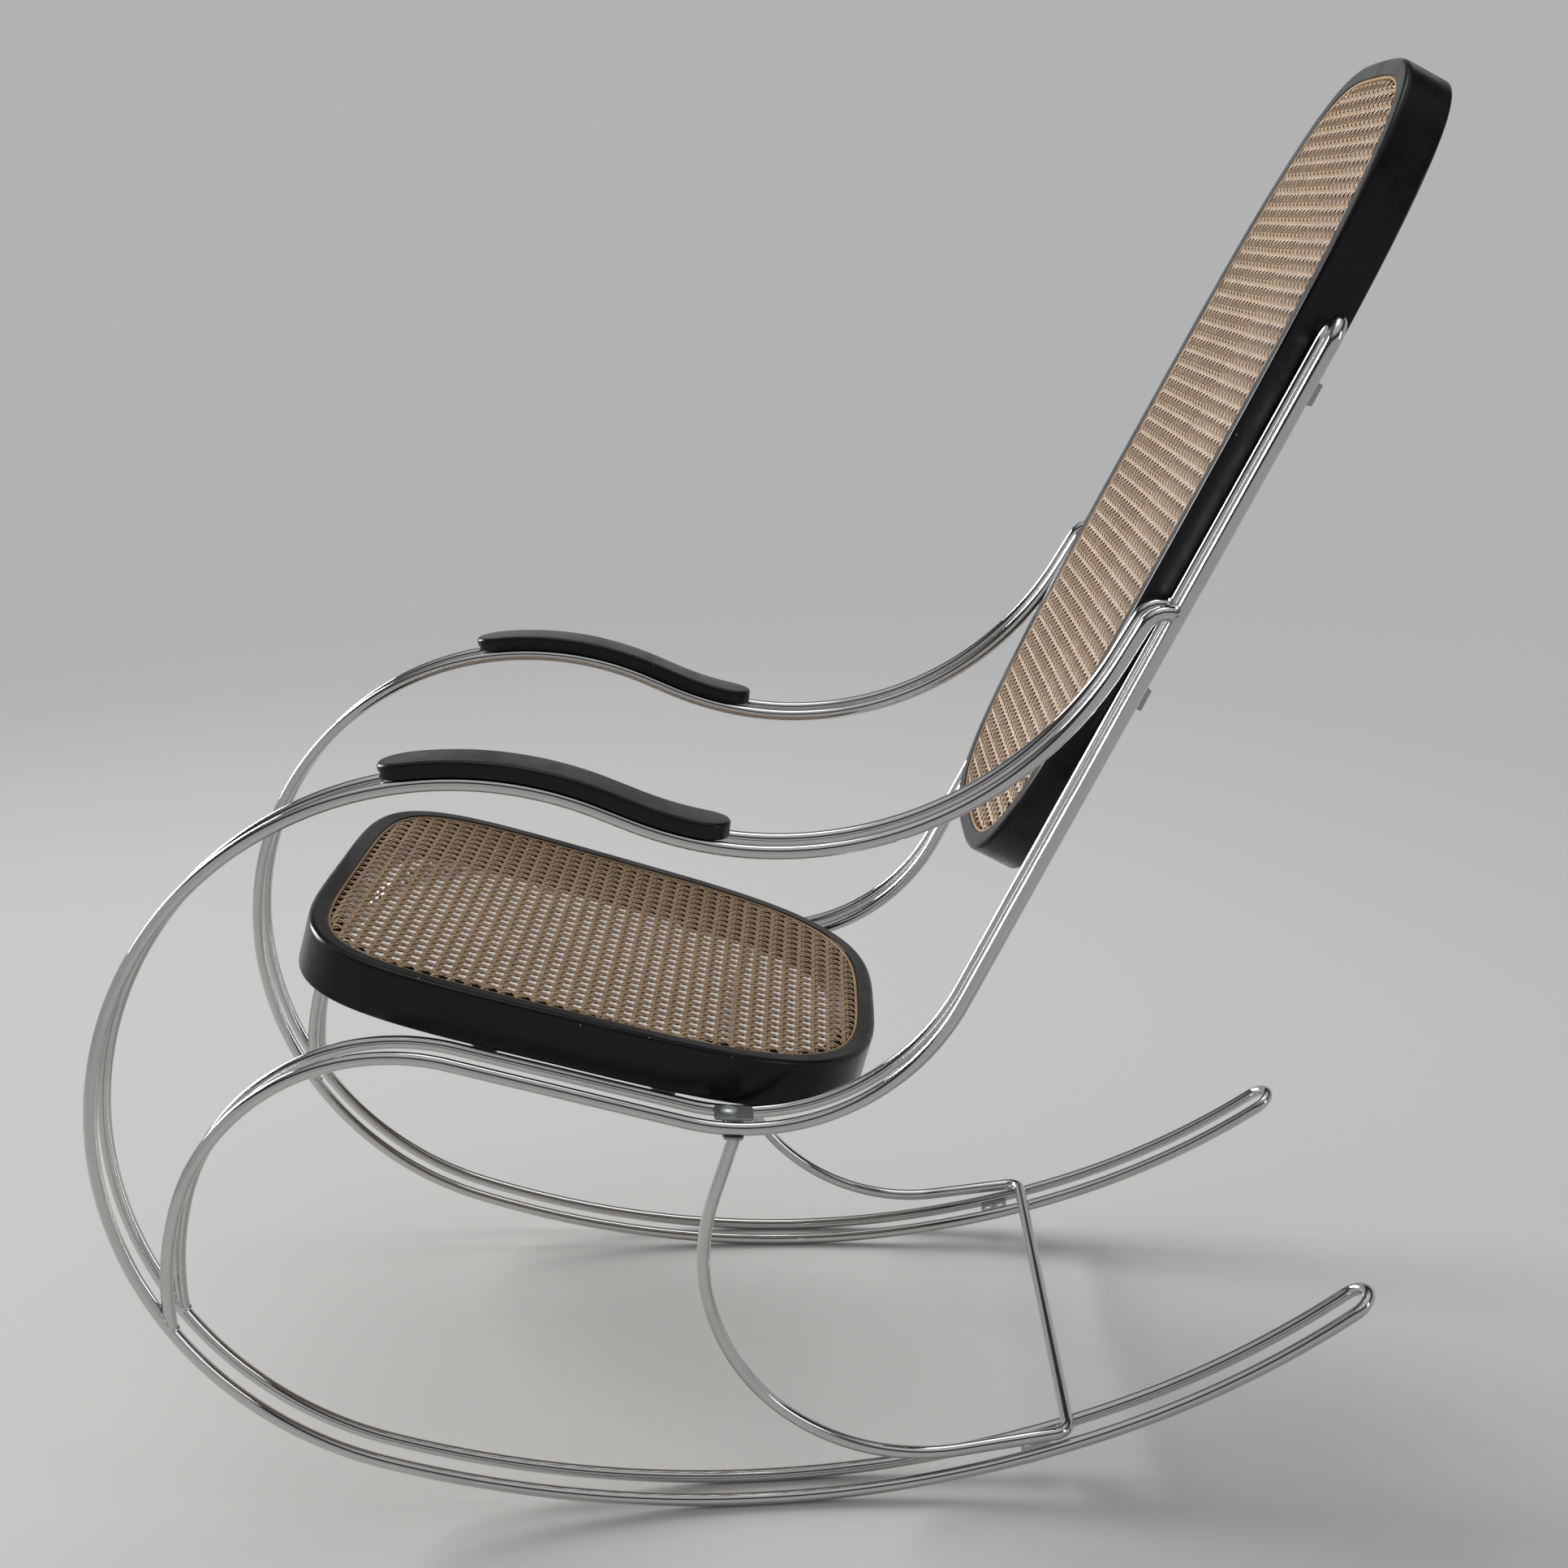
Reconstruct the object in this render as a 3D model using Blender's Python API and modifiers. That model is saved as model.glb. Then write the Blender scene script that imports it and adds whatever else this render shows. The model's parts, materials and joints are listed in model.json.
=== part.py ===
"""Rocking chair: chromed paired tubes, a cane seat and a cane back in black bentwood frames, black arm pads.

Metres, +Z up. The sitter faces -Y, so +X is the sitter's left. Every side line of the chair is drawn in the
side view (Y, Z) and set out at a half width that narrows toward the rear, because the side frames toe in.
"""

import math

import bmesh
import bpy
import numpy as np
from mathutils import Matrix, Vector

# Clearances
GAP = 0.0003
WELD = 0.00001

# Tubes and the stance of the two side frames
TUBE_RADIUS = 0.005
TUBE_SIDES = 8
PAIR_SPACING = 0.031
FRAME_HALF_WIDTH = 0.211
FRAME_TOE_ANGLE = 2.805
BEND_CHORD = 0.024
HAIRPIN_STEPS = 8
BEND_STEPS = 5

# Rocker and arm line, from the rear tip along the floor, up round the front and back along the arm
ROCKER_CONTACT_Y = -0.028
ROCKER_RADIUS = 0.873
ROCKER_FACET = 2.55
ROCKER_FACETS = 15
TAIL_RADIUS = 0.720
TAIL_SWEEP = 14.9
FRONT_LOWER_RADIUS = 0.282
FRONT_LOWER_SWEEP = 60.2
FRONT_UPPER_RADIUS = 0.267
FRONT_UPPER_SWEEP = 125.8
ARM_STRAIGHT = 0.024
ARM_DIP_RADIUS = 0.274
ARM_DIP_SWEEP = 83.0
ARM_RISE = 0.027
ARM_END_SWEEP = 90.0

# Seat and back line, from its foot on the rocker, over the seat front, through the dip and up the back
FOOT_HEIGHT = 0.173
FOOT_HEADING = 86.5
SEAT_LOWER_RADIUS = 0.250
SEAT_LOWER_SWEEP = 22.6
SEAT_FRONT_RADIUS = 0.166
SEAT_FRONT_SWEEP = 88.5
SEAT_STRAIGHT = 0.176
SEAT_DIP_RADIUS = 0.175
SEAT_DIP_SWEEP = 78.5
UPRIGHT_LENGTH = 0.523

# Rear stretcher, from the crossbar over the rockers forward and up to the clamps at the seat tubes
CROSSBAR_Y = 0.207
STRETCHER_INSIDE_TUBE = 0.0015
STRETCHER_OFFSET = PAIR_SPACING / 2 - STRETCHER_INSIDE_TUBE
STRETCHER_CORNER_RADIUS = 0.012
STRETCHER_CORNER_STEPS = 5
STRETCHER_HEADING = -7.2
STRETCHER_STRAIGHT = 0.071
STRETCHER_LOWER_RADIUS = 0.1714
STRETCHER_LOWER_SWEEP = 47.9
STRETCHER_UPPER_RADIUS = 0.1642
STRETCHER_UPPER_SWEEP = 69.5
STRETCHER_TOP = 0.085

# Seat frame
SEAT_LENGTH = 0.457
SEAT_FORWARD = 0.0025
SEAT_SIDE_INSIDE_TUBE = 0.0015
SEAT_OVER_TUBE = 0.0445
SEAT_FRONT_POWER = 4.6
SEAT_REAR_POWER = 3.4

# Back frame
BACK_LENGTH = 0.663
BACK_BELOW_TUBE_END = 0.125
BACK_AHEAD_OF_TUBE = 0.0227
BACK_FRAME_DEPTH = 0.037
BACK_POWER = 3.4

# Rim, groove, spline and cane, the same for both frames
RIM_WIDTH = 0.013
FRAME_WIDTH = 0.027
FRAME_CHAMFER = 0.004
SPLINE_RADIUS = 0.002
SPLINE_SIDES = 6
SPLINE_CLEARANCE = 0.0005
CANE_THICKNESS = 0.0015
CANE_BELOW_RIM = 0.0015
GROOVE_BELOW_CANE = 0.0005
GROOVE_DEPTH = CANE_BELOW_RIM + CANE_THICKNESS + GAP + GROOVE_BELOW_CANE
CANE_OPENINGS_ACROSS = 10
CANE_OPENING_SHARE = 0.54
OUTLINE_POINTS = 60
OUTLINE_SAMPLES = 1440

# Arm pads
PAD_START = 0.736
PAD_END = 0.18
PAD_OVER_TUBE = 0.0035
PAD_WIDTH = PAIR_SPACING + 2 * PAD_OVER_TUBE
PAD_THICKNESS = 0.012
PAD_EDGE = 0.003
PAD_EDGE_ANGLE = 40.0
PAD_POWER = 6.0
PAD_TIP = 0.985
PAD_STEPS = 20
PAD_ROWS = 4

# Plates, tabs and brackets
PLATE_THICKNESS = 0.002
PLATE_CORNER = 0.003
PLATE_CORNER_STEPS = 3
HOLE_STEPS = 10
INSIDE_PLATE_WIDTH = PAIR_SPACING - 2 * (TUBE_RADIUS + GAP)
ARM_PLATE_LENGTH = 0.022
ARM_PLATE_STATIONS = {"front": 0.2, "rear": 0.8}
CLAMP_LENGTH = 0.029
CLAMP_BEARING = 0.0015
CLAMP_WIDTH = PAIR_SPACING - 2 * (TUBE_RADIUS - CLAMP_BEARING)
CLAMP_BASE_OVER_TUBE = 0.0045
CLAMP_BASE_WIDTH = PAIR_SPACING + 2 * CLAMP_BASE_OVER_TUBE
CLAMP_BASE_LENGTH = 0.016
CLAMP_STATION = 0.15
CLAMP_SCREW_AHEAD = 0.004
ROCKER_PLATE_Y = 0.182
ROCKER_PLATE_LENGTH = 0.024
ROCKER_PLATE_HOLE = 0.0034
ROCKER_PLATE_HOLES = 2
SEAT_TAB_THICKNESS = 0.003
SEAT_TAB_WIDTH = 0.020
SEAT_TAB_LENGTH = 0.024
SEAT_TAB_SCREW = 0.013
SEAT_TAB_STATIONS = {"front": -0.068, "rear": 0.068}
BRACKET_WIDTH = 0.016
BRACKET_SCREW = 0.014
BRACKET_REACH = 0.023
BRACKET_BELOW_TUBE_END = {"lower": 0.273, "upper": 0.033}

# Screws
HEAD_RADIUS = 0.0045
HEAD_HEIGHT = 0.0026
HEAD_CROWN = 0.65
HEAD_EDGE = 0.45
SHANK_RADIUS = 0.002
SCREW_POINT = 0.003
SCREW_STEPS = 10
SEAT_SCREW_BITE = 0.016
BACK_SCREW_BITE = 0.018
PAD_SCREW_BITE = 0.007
CLAMP_SCREW_TAIL = 0.003

SIDES = {"left": 1.0, "right": -1.0}
FINISHES = {
    "chrome": ((0.80, 0.79, 0.77), 1.0, 0.08),
    "zinc": ((0.55, 0.55, 0.52), 1.0, 0.35),
    "black_lacquer": ((0.012, 0.012, 0.013), 0.0, 0.35),
    "cane": ((0.62, 0.43, 0.22), 0.0, 0.55),
    "spline_reed": ((0.58, 0.40, 0.21), 0.0, 0.60),
}


class Profile:
    """A side-view line of arcs and straights that join smoothly.

    A heading in degrees is measured from the front (-Y) turning up. Each piece is (radius, sweep) for an arc,
    where a positive sweep turns up and over to the back, or (None, length) for a straight.
    """

    def __init__(self, start, heading, pieces):
        self.pieces = pieces
        self.starts = [(np.array(start, dtype=float), heading, 0.0)]
        for index in range(len(pieces)):
            length = self.length(index)
            point, turned = self.in_piece(index, 1.0)
            self.starts.append((point, turned, self.starts[index][2] + length))

    def length(self, index):
        """Length of one piece."""
        radius, amount = self.pieces[index]
        if radius is None:
            return amount
        return radius * math.radians(abs(amount))

    def in_piece(self, index, fraction):
        """Exact point and heading at a fraction of one piece."""
        radius, amount = self.pieces[index]
        point, heading, _ = self.starts[index]
        if radius is None:
            return point + amount * fraction * ahead(heading), heading
        hand = math.copysign(radius, amount)
        turned = heading + amount * fraction
        return point + hand * (inward(heading) - inward(turned)), turned

    def distance(self, index, fraction):
        """Distance along the line to a fraction of one piece."""
        return self.starts[index][2] + fraction * self.length(index)

    def at(self, distance):
        """Exact point and heading at a distance along the line."""
        index = 0
        while index < len(self.pieces) - 1 and distance > self.starts[index + 1][2]:
            index += 1
        return self.in_piece(index, (distance - self.starts[index][2]) / self.length(index))

    def piece_points(self, index, steps=None):
        """Points of one piece: the ends of a straight, or even steps round an arc."""
        if steps is None:
            straight = self.pieces[index][0] is None
            steps = 1 if straight else max(BEND_STEPS, round(self.length(index) / BEND_CHORD))
        return np.array([self.in_piece(index, step / steps)[0] for step in range(steps + 1)])

    def points(self, counts):
        """Points along the whole line. The counts give the steps of chosen pieces."""
        runs = [self.piece_points(index, counts.get(index))[1:] for index in range(len(self.pieces))]
        return np.vstack([self.starts[0][0], *runs])


def ahead(heading):
    """Unit direction of travel in (Y, Z)."""
    angle = math.radians(heading)
    return np.array([-math.cos(angle), math.sin(angle)])


def inward(heading):
    """Unit direction toward the centre of a turn with positive sweep, in (Y, Z)."""
    angle = math.radians(heading)
    return np.array([math.sin(angle), math.cos(angle)])


def half_width(y):
    """Half width to the middle of a tube pair."""
    return FRAME_HALF_WIDTH - math.tan(math.radians(FRAME_TOE_ANGLE)) * y


def strand(points, side, offset):
    """The side-view points set out on one side: offset is outward from the middle of the pair."""
    x = side * (half_width(points[:, 0]) + offset)
    return np.column_stack([x, points])


def hairpin(points, end, heading, side):
    """Outer strand up to an end point, a half-round bend there, and the inner strand back again."""
    radius = PAIR_SPACING / 2
    turn = np.linspace(0.0, math.pi, HAIRPIN_STEPS + 1)[1:-1]
    bend_points = end + radius * np.sin(turn)[:, None] * ahead(heading)
    x = side * (half_width(bend_points[:, 0]) + radius * np.cos(turn))
    bend = np.column_stack([x, bend_points])
    return np.vstack([strand(points, side, radius), bend, strand(points, side, -radius)[::-1]])


def upward(heading):
    """Frame of a place on a line: local x across the chair, y along toward the rear, z up from the line."""
    along = -ahead(heading) if ahead(heading)[0] < 0 else ahead(heading)
    return Matrix(((1, 0, 0), (0, along[0], -along[1]), (0, along[1], along[0]))).to_4x4()


def placed(side, offset, point, heading):
    """Frame at a place on a line of one side, turned with the toe-in.

    A side of zero is the middle of the chair.
    """
    x = side * (half_width(point[0]) + offset)
    toe = Matrix.Rotation(side * math.radians(FRAME_TOE_ANGLE), 4, "Z")
    return Matrix.Translation((x, point[0], point[1])) @ upward(heading) @ toe


def lift(height):
    """Move along local z."""
    return Matrix.Translation((0, 0, height))


def new_material(name):
    """Plain surface finish."""
    colour, metallic, roughness = FINISHES[name]
    made = bpy.data.materials.new(name)
    made.use_nodes = True
    shader = made.node_tree.nodes["Principled BSDF"]
    shader.inputs["Base Color"].default_value = (*colour, 1.0)
    shader.inputs["Metallic"].default_value = metallic
    shader.inputs["Roughness"].default_value = roughness
    made.diffuse_color = (*colour, 1.0)
    return made


def to_mesh(source, place):
    """Plain closed mesh of a curve or an object with modifiers, moved into place. The source is removed."""
    scene_objects = bpy.context.scene.collection.objects
    scene_objects.link(source)
    graph = bpy.context.evaluated_depsgraph_get()
    mesh = bpy.data.meshes.new_from_object(source.evaluated_get(graph))
    bpy.data.objects.remove(source)
    work = bmesh.new()
    work.from_mesh(mesh)
    bmesh.ops.remove_doubles(work, verts=work.verts, dist=WELD)
    bmesh.ops.dissolve_degenerate(work, edges=work.edges, dist=WELD)
    bmesh.ops.recalc_face_normals(work, faces=work.faces)
    work.to_mesh(mesh)
    work.free()
    mesh.transform(place)
    mesh.materials.clear()
    return mesh


def poly_curve(loops, cyclic, flat):
    """Curve of straight pieces through each loop of points."""
    data = bpy.data.curves.new("line", "CURVE")
    data.dimensions = "2D" if flat else "3D"
    for points in loops:
        spline = data.splines.new("POLY")
        spline.points.add(len(points) - 1)
        for point, place in zip(spline.points, points):
            point.co = (*place, *([0.0] * (3 - len(place))), 1.0)
        spline.use_cyclic_u = cyclic
    return data


def tube_mesh(paths, radius, cyclic=False, sides=TUBE_SIDES, place=None):
    """Round bar along each path."""
    data = poly_curve(paths, cyclic, False)
    data.bevel_depth = radius
    data.bevel_resolution = (sides - 4) // 2
    data.use_fill_caps = True
    return to_mesh(bpy.data.objects.new("line", data), place or Matrix.Identity(4))


def plate_mesh(loops, thickness, place):
    """Flat plate with its lower face on local z = 0. The first loop is the edge and the rest are holes."""
    data = poly_curve(loops, True, True)
    data.fill_mode = "BOTH"
    data.extrude = thickness / 2
    return to_mesh(bpy.data.objects.new("plate", data), place @ Matrix.Translation((0, 0, thickness / 2)))


def ring_mesh(outline, section, place):
    """Frame swept round a flat outline. A section point is (inward from the outline, up)."""
    profile = poly_curve([section], True, True)
    shape = bpy.data.objects.new("section", profile)
    bpy.context.scene.collection.objects.link(shape)
    data = poly_curve([outline], True, True)
    data.bevel_mode = "OBJECT"
    data.bevel_object = shape
    mesh = to_mesh(bpy.data.objects.new("ring", data), place)
    bpy.data.objects.remove(shape)
    return mesh


def screw_mesh(shank, place):
    """Pan-head screw. Local z points into the work, from the underside of the head."""
    crown = HEAD_RADIUS * HEAD_CROWN
    edge = HEAD_HEIGHT * HEAD_EDGE
    side = [(0, -HEAD_HEIGHT), (crown, -HEAD_HEIGHT), (HEAD_RADIUS, -edge), (HEAD_RADIUS, 0)]
    side += [(SHANK_RADIUS, 0), (SHANK_RADIUS, shank - SCREW_POINT), (0, shank)]
    mesh = bpy.data.meshes.new("side")
    mesh.from_pydata([(r, 0, z) for r, z in side], [(i, i + 1) for i in range(len(side) - 1)], [])
    turned = bpy.data.objects.new("screw", mesh)
    lathe = turned.modifiers.new("turn", "SCREW")
    lathe.steps = SCREW_STEPS
    lathe.render_steps = SCREW_STEPS
    lathe.use_merge_vertices = True
    lathe.merge_threshold = WELD
    return to_mesh(turned, place)


def hole_mesh(length, place):
    """Cutter for the shank of a screw, along local z."""
    turn = np.linspace(0.0, math.tau, HOLE_STEPS, endpoint=False)
    radius = SHANK_RADIUS + GAP
    circle = np.column_stack([radius * np.cos(turn), radius * np.sin(turn)])
    return plate_mesh([circle], length, place)


def rounded_rectangle(length_x, length_y):
    """Loop of a rectangle with rounded corners, centred."""
    loop = []
    for corner in range(4):
        turn = np.radians(90 * corner + np.linspace(0, 90, PLATE_CORNER_STEPS + 1))
        centre_x = math.copysign(length_x / 2 - PLATE_CORNER, math.cos(turn.mean()))
        centre_y = math.copysign(length_y / 2 - PLATE_CORNER, math.sin(turn.mean()))
        loop += [(centre_x + PLATE_CORNER * math.cos(a), centre_y + PLATE_CORNER * math.sin(a)) for a in turn]
    return loop


def circle_loop(x, y, radius):
    """Loop of a round hole."""
    turn = np.linspace(0.0, math.tau, HOLE_STEPS, endpoint=False)
    return [(x + radius * math.cos(a), y + radius * math.sin(a)) for a in turn]


def rounded_outline(half_length, width_at, power_low, power_high):
    """Outline whose corners follow a power curve, with more points where it turns.

    width_at gives the half width at a place along the length; the low and high ends have powers of their own.
    """
    turn = np.linspace(0.0, math.tau, OUTLINE_SAMPLES + 1)
    power = np.where(np.sin(turn) < 0, power_low, power_high)
    along = half_length * np.sign(np.sin(turn)) * np.abs(np.sin(turn)) ** (2 / power)
    across = width_at(along) * np.sign(np.cos(turn)) * np.abs(np.cos(turn)) ** (2 / power)
    dense = np.column_stack([across, along])
    step = np.diff(dense, axis=0)
    length = np.hypot(step[:, 0], step[:, 1])
    direction = np.unwrap(np.arctan2(step[:, 1], step[:, 0]))
    bend = np.abs(np.diff(direction, append=direction[0] + math.tau))
    weight = np.append(0.0, np.cumsum(length / length.sum() + bend / bend.sum()))
    even = np.linspace(0.0, weight[-1], OUTLINE_POINTS, endpoint=False)
    return np.column_stack([np.interp(even, weight, dense[:, axis]) for axis in range(2)])


def offset_inward(outline, distance):
    """The outline moved inward by a distance."""
    along = np.roll(outline, -1, axis=0) - np.roll(outline, 1, axis=0)
    along /= np.hypot(along[:, 0], along[:, 1])[:, None]
    return outline + distance * np.column_stack([-along[:, 1], along[:, 0]])


def cane_openings(inside):
    """Square openings of a cane sheet on an even grid, with a bar through the middle each way.

    An opening is kept where all of it is inside the given loop, which is convex and runs anticlockwise.
    """
    pitch = 2 * np.abs(inside[:, 0]).max() / CANE_OPENINGS_ACROSS
    half = pitch * CANE_OPENING_SHARE / 2
    square = np.array([(-half, -half), (half, -half), (half, half), (-half, half)])
    along = np.roll(inside, -1, axis=0) - inside
    columns = math.ceil(CANE_OPENINGS_ACROSS / 2)
    rows = math.ceil(np.abs(inside[:, 1]).max() / pitch)
    loops = []
    for row in range(-rows, rows):
        for column in range(-columns, columns):
            corners = square + pitch * np.array([column + 0.5, row + 0.5])
            reach = corners[:, None] - inside
            if np.all(along[:, 0] * reach[..., 1] > along[:, 1] * reach[..., 0]):
                loops.append(corners)
    return loops


def frame_section(height):
    """Section of a bentwood frame with a spline groove and a lower ledge for the cane."""
    groove = RIM_WIDTH + 2 * (SPLINE_RADIUS + SPLINE_CLEARANCE)
    ledge = height - CANE_BELOW_RIM - CANE_THICKNESS - GAP
    return [
        (FRAME_CHAMFER, 0.0),
        (FRAME_WIDTH - FRAME_CHAMFER, 0.0),
        (FRAME_WIDTH, FRAME_CHAMFER),
        (FRAME_WIDTH, ledge),
        (groove, ledge),
        (groove, height - GROOVE_DEPTH),
        (RIM_WIDTH, height - GROOVE_DEPTH),
        (RIM_WIDTH, height),
        (FRAME_CHAMFER, height),
        (0.0, height - FRAME_CHAMFER),
        (0.0, FRAME_CHAMFER),
    ]


class Chair:
    """Collects the parts, and the cutters that shape them, while the chair is set out."""

    def __init__(self):
        self.parts = bpy.data.collections.new("rocking_chair")
        self.cutters = bpy.data.collections.new("cutters")
        self.cutters.hide_render = True
        bpy.context.scene.collection.children.link(self.parts)
        bpy.context.scene.collection.children.link(self.cutters)
        self.finishes = {name: new_material(name) for name in FINISHES}
        self.rocker = self.rocker_profile()
        self.seat = self.seat_profile()
        self.close_arm()
        self.stretcher = self.stretcher_profile()

    def add(self, name, mesh, finish):
        """Adds one part."""
        mesh.name = name
        mesh.materials.append(self.finishes[finish])
        made = bpy.data.objects.new(name, mesh)
        self.parts.objects.link(made)
        return made

    def cut(self, part, mesh):
        """Takes a cutter away from a part."""
        cutter = bpy.data.objects.new(f"{part.name}_cutter", mesh)
        cutter.hide_render = True
        cutter.display_type = "WIRE"
        self.cutters.objects.link(cutter)
        boolean = part.modifiers.new("cut", "BOOLEAN")
        boolean.operation = "DIFFERENCE"
        boolean.solver = "EXACT"
        boolean.object = cutter

    def rocker_profile(self):
        """Rocker and arm line as far as the rise beside the upright."""
        behind = -ROCKER_FACETS * ROCKER_FACET / 2
        centre = np.array([ROCKER_CONTACT_Y, ROCKER_RADIUS + TUBE_RADIUS])
        tip = behind - TAIL_SWEEP
        pieces = [
            (TAIL_RADIUS, TAIL_SWEEP),
            (ROCKER_RADIUS, ROCKER_FACETS * ROCKER_FACET),
            (FRONT_LOWER_RADIUS, FRONT_LOWER_SWEEP),
            (FRONT_UPPER_RADIUS, FRONT_UPPER_SWEEP),
            (None, ARM_STRAIGHT),
            (ARM_DIP_RADIUS, -ARM_DIP_SWEEP),
            (None, ARM_RISE),
        ]
        start = centre - ROCKER_RADIUS * inward(behind) - TAIL_RADIUS * (inward(tip) - inward(behind))
        return Profile(start, tip, pieces)

    def seat_profile(self):
        """Seat and back line, from its foot on the middle of the rocker tube."""
        point, heading, _ = self.rocker.starts[2]
        centre = point + FRONT_LOWER_RADIUS * inward(heading)
        reach = math.sqrt(FRONT_LOWER_RADIUS**2 - (centre[1] - FOOT_HEIGHT) ** 2)
        pieces = [
            (SEAT_LOWER_RADIUS, SEAT_LOWER_SWEEP),
            (SEAT_FRONT_RADIUS, SEAT_FRONT_SWEEP),
            (None, SEAT_STRAIGHT),
            (SEAT_DIP_RADIUS, -SEAT_DIP_SWEEP),
            (None, UPRIGHT_LENGTH),
        ]
        return Profile((centre[0] - reach, FOOT_HEIGHT), FOOT_HEADING, pieces)

    def close_arm(self):
        """Adds the bend that turns the arm onto the middle of the upright."""
        point, heading, _ = self.rocker.starts[-1]
        upright, upright_heading, _ = self.seat.starts[4]
        across = inward(upright_heading)
        reach = (upright - point) @ across
        bend = (inward(heading) + ahead(heading)) @ across
        pieces = self.rocker.pieces + [(reach / bend, ARM_END_SWEEP)]
        self.rocker = Profile(self.rocker.starts[0][0], self.rocker.starts[0][1], pieces)

    def stretcher_profile(self):
        """Stretcher side line, from its lower corner forward and up."""
        slope = math.asin((CROSSBAR_Y - ROCKER_CONTACT_Y) / ROCKER_RADIUS)
        rocker_z = ROCKER_RADIUS * (1 - math.cos(slope)) + TUBE_RADIUS
        self.crossbar = np.array([CROSSBAR_Y, rocker_z + (2 * TUBE_RADIUS + GAP) / math.cos(slope)])
        pieces = [
            (None, STRETCHER_STRAIGHT),
            (STRETCHER_LOWER_RADIUS, STRETCHER_LOWER_SWEEP),
            (STRETCHER_UPPER_RADIUS, STRETCHER_UPPER_SWEEP),
            (None, STRETCHER_TOP),
        ]
        corner = self.crossbar + STRETCHER_CORNER_RADIUS * ahead(STRETCHER_HEADING)
        return Profile(corner, STRETCHER_HEADING, pieces)

    def tubes(self, hand, side):
        """Two hairpins of one side, each notched round the tube that it is welded to."""
        rocker_points = self.rocker.points({1: ROCKER_FACETS})
        start, heading, _ = self.rocker.starts[0]
        path = hairpin(rocker_points[::-1], start, heading + 180, side)
        rocker_arm = self.add(f"{hand}_rocker_arm_tube", tube_mesh([path], TUBE_RADIUS), "chrome")
        seat_points = self.seat.points({})
        end, heading, _ = self.seat.starts[-1]
        path = hairpin(seat_points, end, heading, side)
        seat_back = self.add(f"{hand}_seat_back_tube", tube_mesh([path], TUBE_RADIUS), "chrome")
        front = self.rocker.piece_points(2)
        upright = self.seat.piece_points(4)
        for part, line in ((seat_back, front), (rocker_arm, upright)):
            for offset in (-PAIR_SPACING / 2, PAIR_SPACING / 2):
                self.cut(part, tube_mesh([strand(line, side, offset)], TUBE_RADIUS + GAP))

    def rear_stretcher(self):
        """Stretcher of one tube: up each side from the crossbar, cut off under the clamp bases."""
        side = strand(self.stretcher.points({})[::-1], 1.0, STRETCHER_OFFSET)
        corner = side[-1]
        toward = self.crossbar - corner[1:]
        turn = np.linspace(0.0, math.pi / 2, STRETCHER_CORNER_STEPS + 1)[1:]
        across = corner[0] - STRETCHER_CORNER_RADIUS * (1 - np.cos(turn))
        bend = np.column_stack([across, corner[1:] + np.sin(turn)[:, None] * toward])
        half = np.vstack([side, bend])
        path = np.vstack([half, half[::-1] * (-1, 1, 1)])
        made = self.add("rear_stretcher_tube", tube_mesh([path], TUBE_RADIUS), "chrome")
        point, heading = self.clamp_station()
        below = TUBE_RADIUS + PLATE_THICKNESS + 2 * GAP
        block = rounded_rectangle(2 * (FRAME_HALF_WIDTH + PAIR_SPACING), 2 * CLAMP_LENGTH)
        self.cut(made, plate_mesh([block], STRETCHER_TOP, placed(0.0, 0.0, point, heading) @ lift(-below)))

    def clamp_station(self):
        """Place of the clamps, on the dip of the seat tubes."""
        return self.seat.in_piece(3, CLAMP_STATION)

    def clamp_level(self):
        """Height over the tube middles at which a clamp plate rests on both tubes of a pair."""
        overlap = (PAIR_SPACING - CLAMP_WIDTH) / 2
        return math.sqrt(TUBE_RADIUS**2 - overlap**2) + GAP

    def clamp(self, hand, side):
        """Two plates that grip the seat tubes between them, and the screw through both."""
        frame = placed(side, 0.0, *self.clamp_station())
        hole = circle_loop(0.0, -CLAMP_SCREW_AHEAD, SHANK_RADIUS + GAP)
        plate = [rounded_rectangle(CLAMP_WIDTH, CLAMP_LENGTH), hole]
        base = [rounded_rectangle(CLAMP_BASE_WIDTH, CLAMP_BASE_LENGTH), hole]
        below = -TUBE_RADIUS - GAP - PLATE_THICKNESS
        above = self.clamp_level() + CLAMP_LENGTH**2 / (8 * SEAT_DIP_RADIUS)
        self.add(f"{hand}_clamp_plate", plate_mesh(plate, PLATE_THICKNESS, frame @ lift(above)), "zinc")
        self.add(f"{hand}_clamp_base", plate_mesh(base, PLATE_THICKNESS, frame @ lift(below)), "zinc")
        top = above + PLATE_THICKNESS + GAP
        place = frame @ Matrix.Translation((0.0, -CLAMP_SCREW_AHEAD, top)) @ Matrix.Rotation(math.pi, 4, "X")
        self.add(f"{hand}_clamp_screw", screw_mesh(top - below + CLAMP_SCREW_TAIL, place), "zinc")

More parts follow.
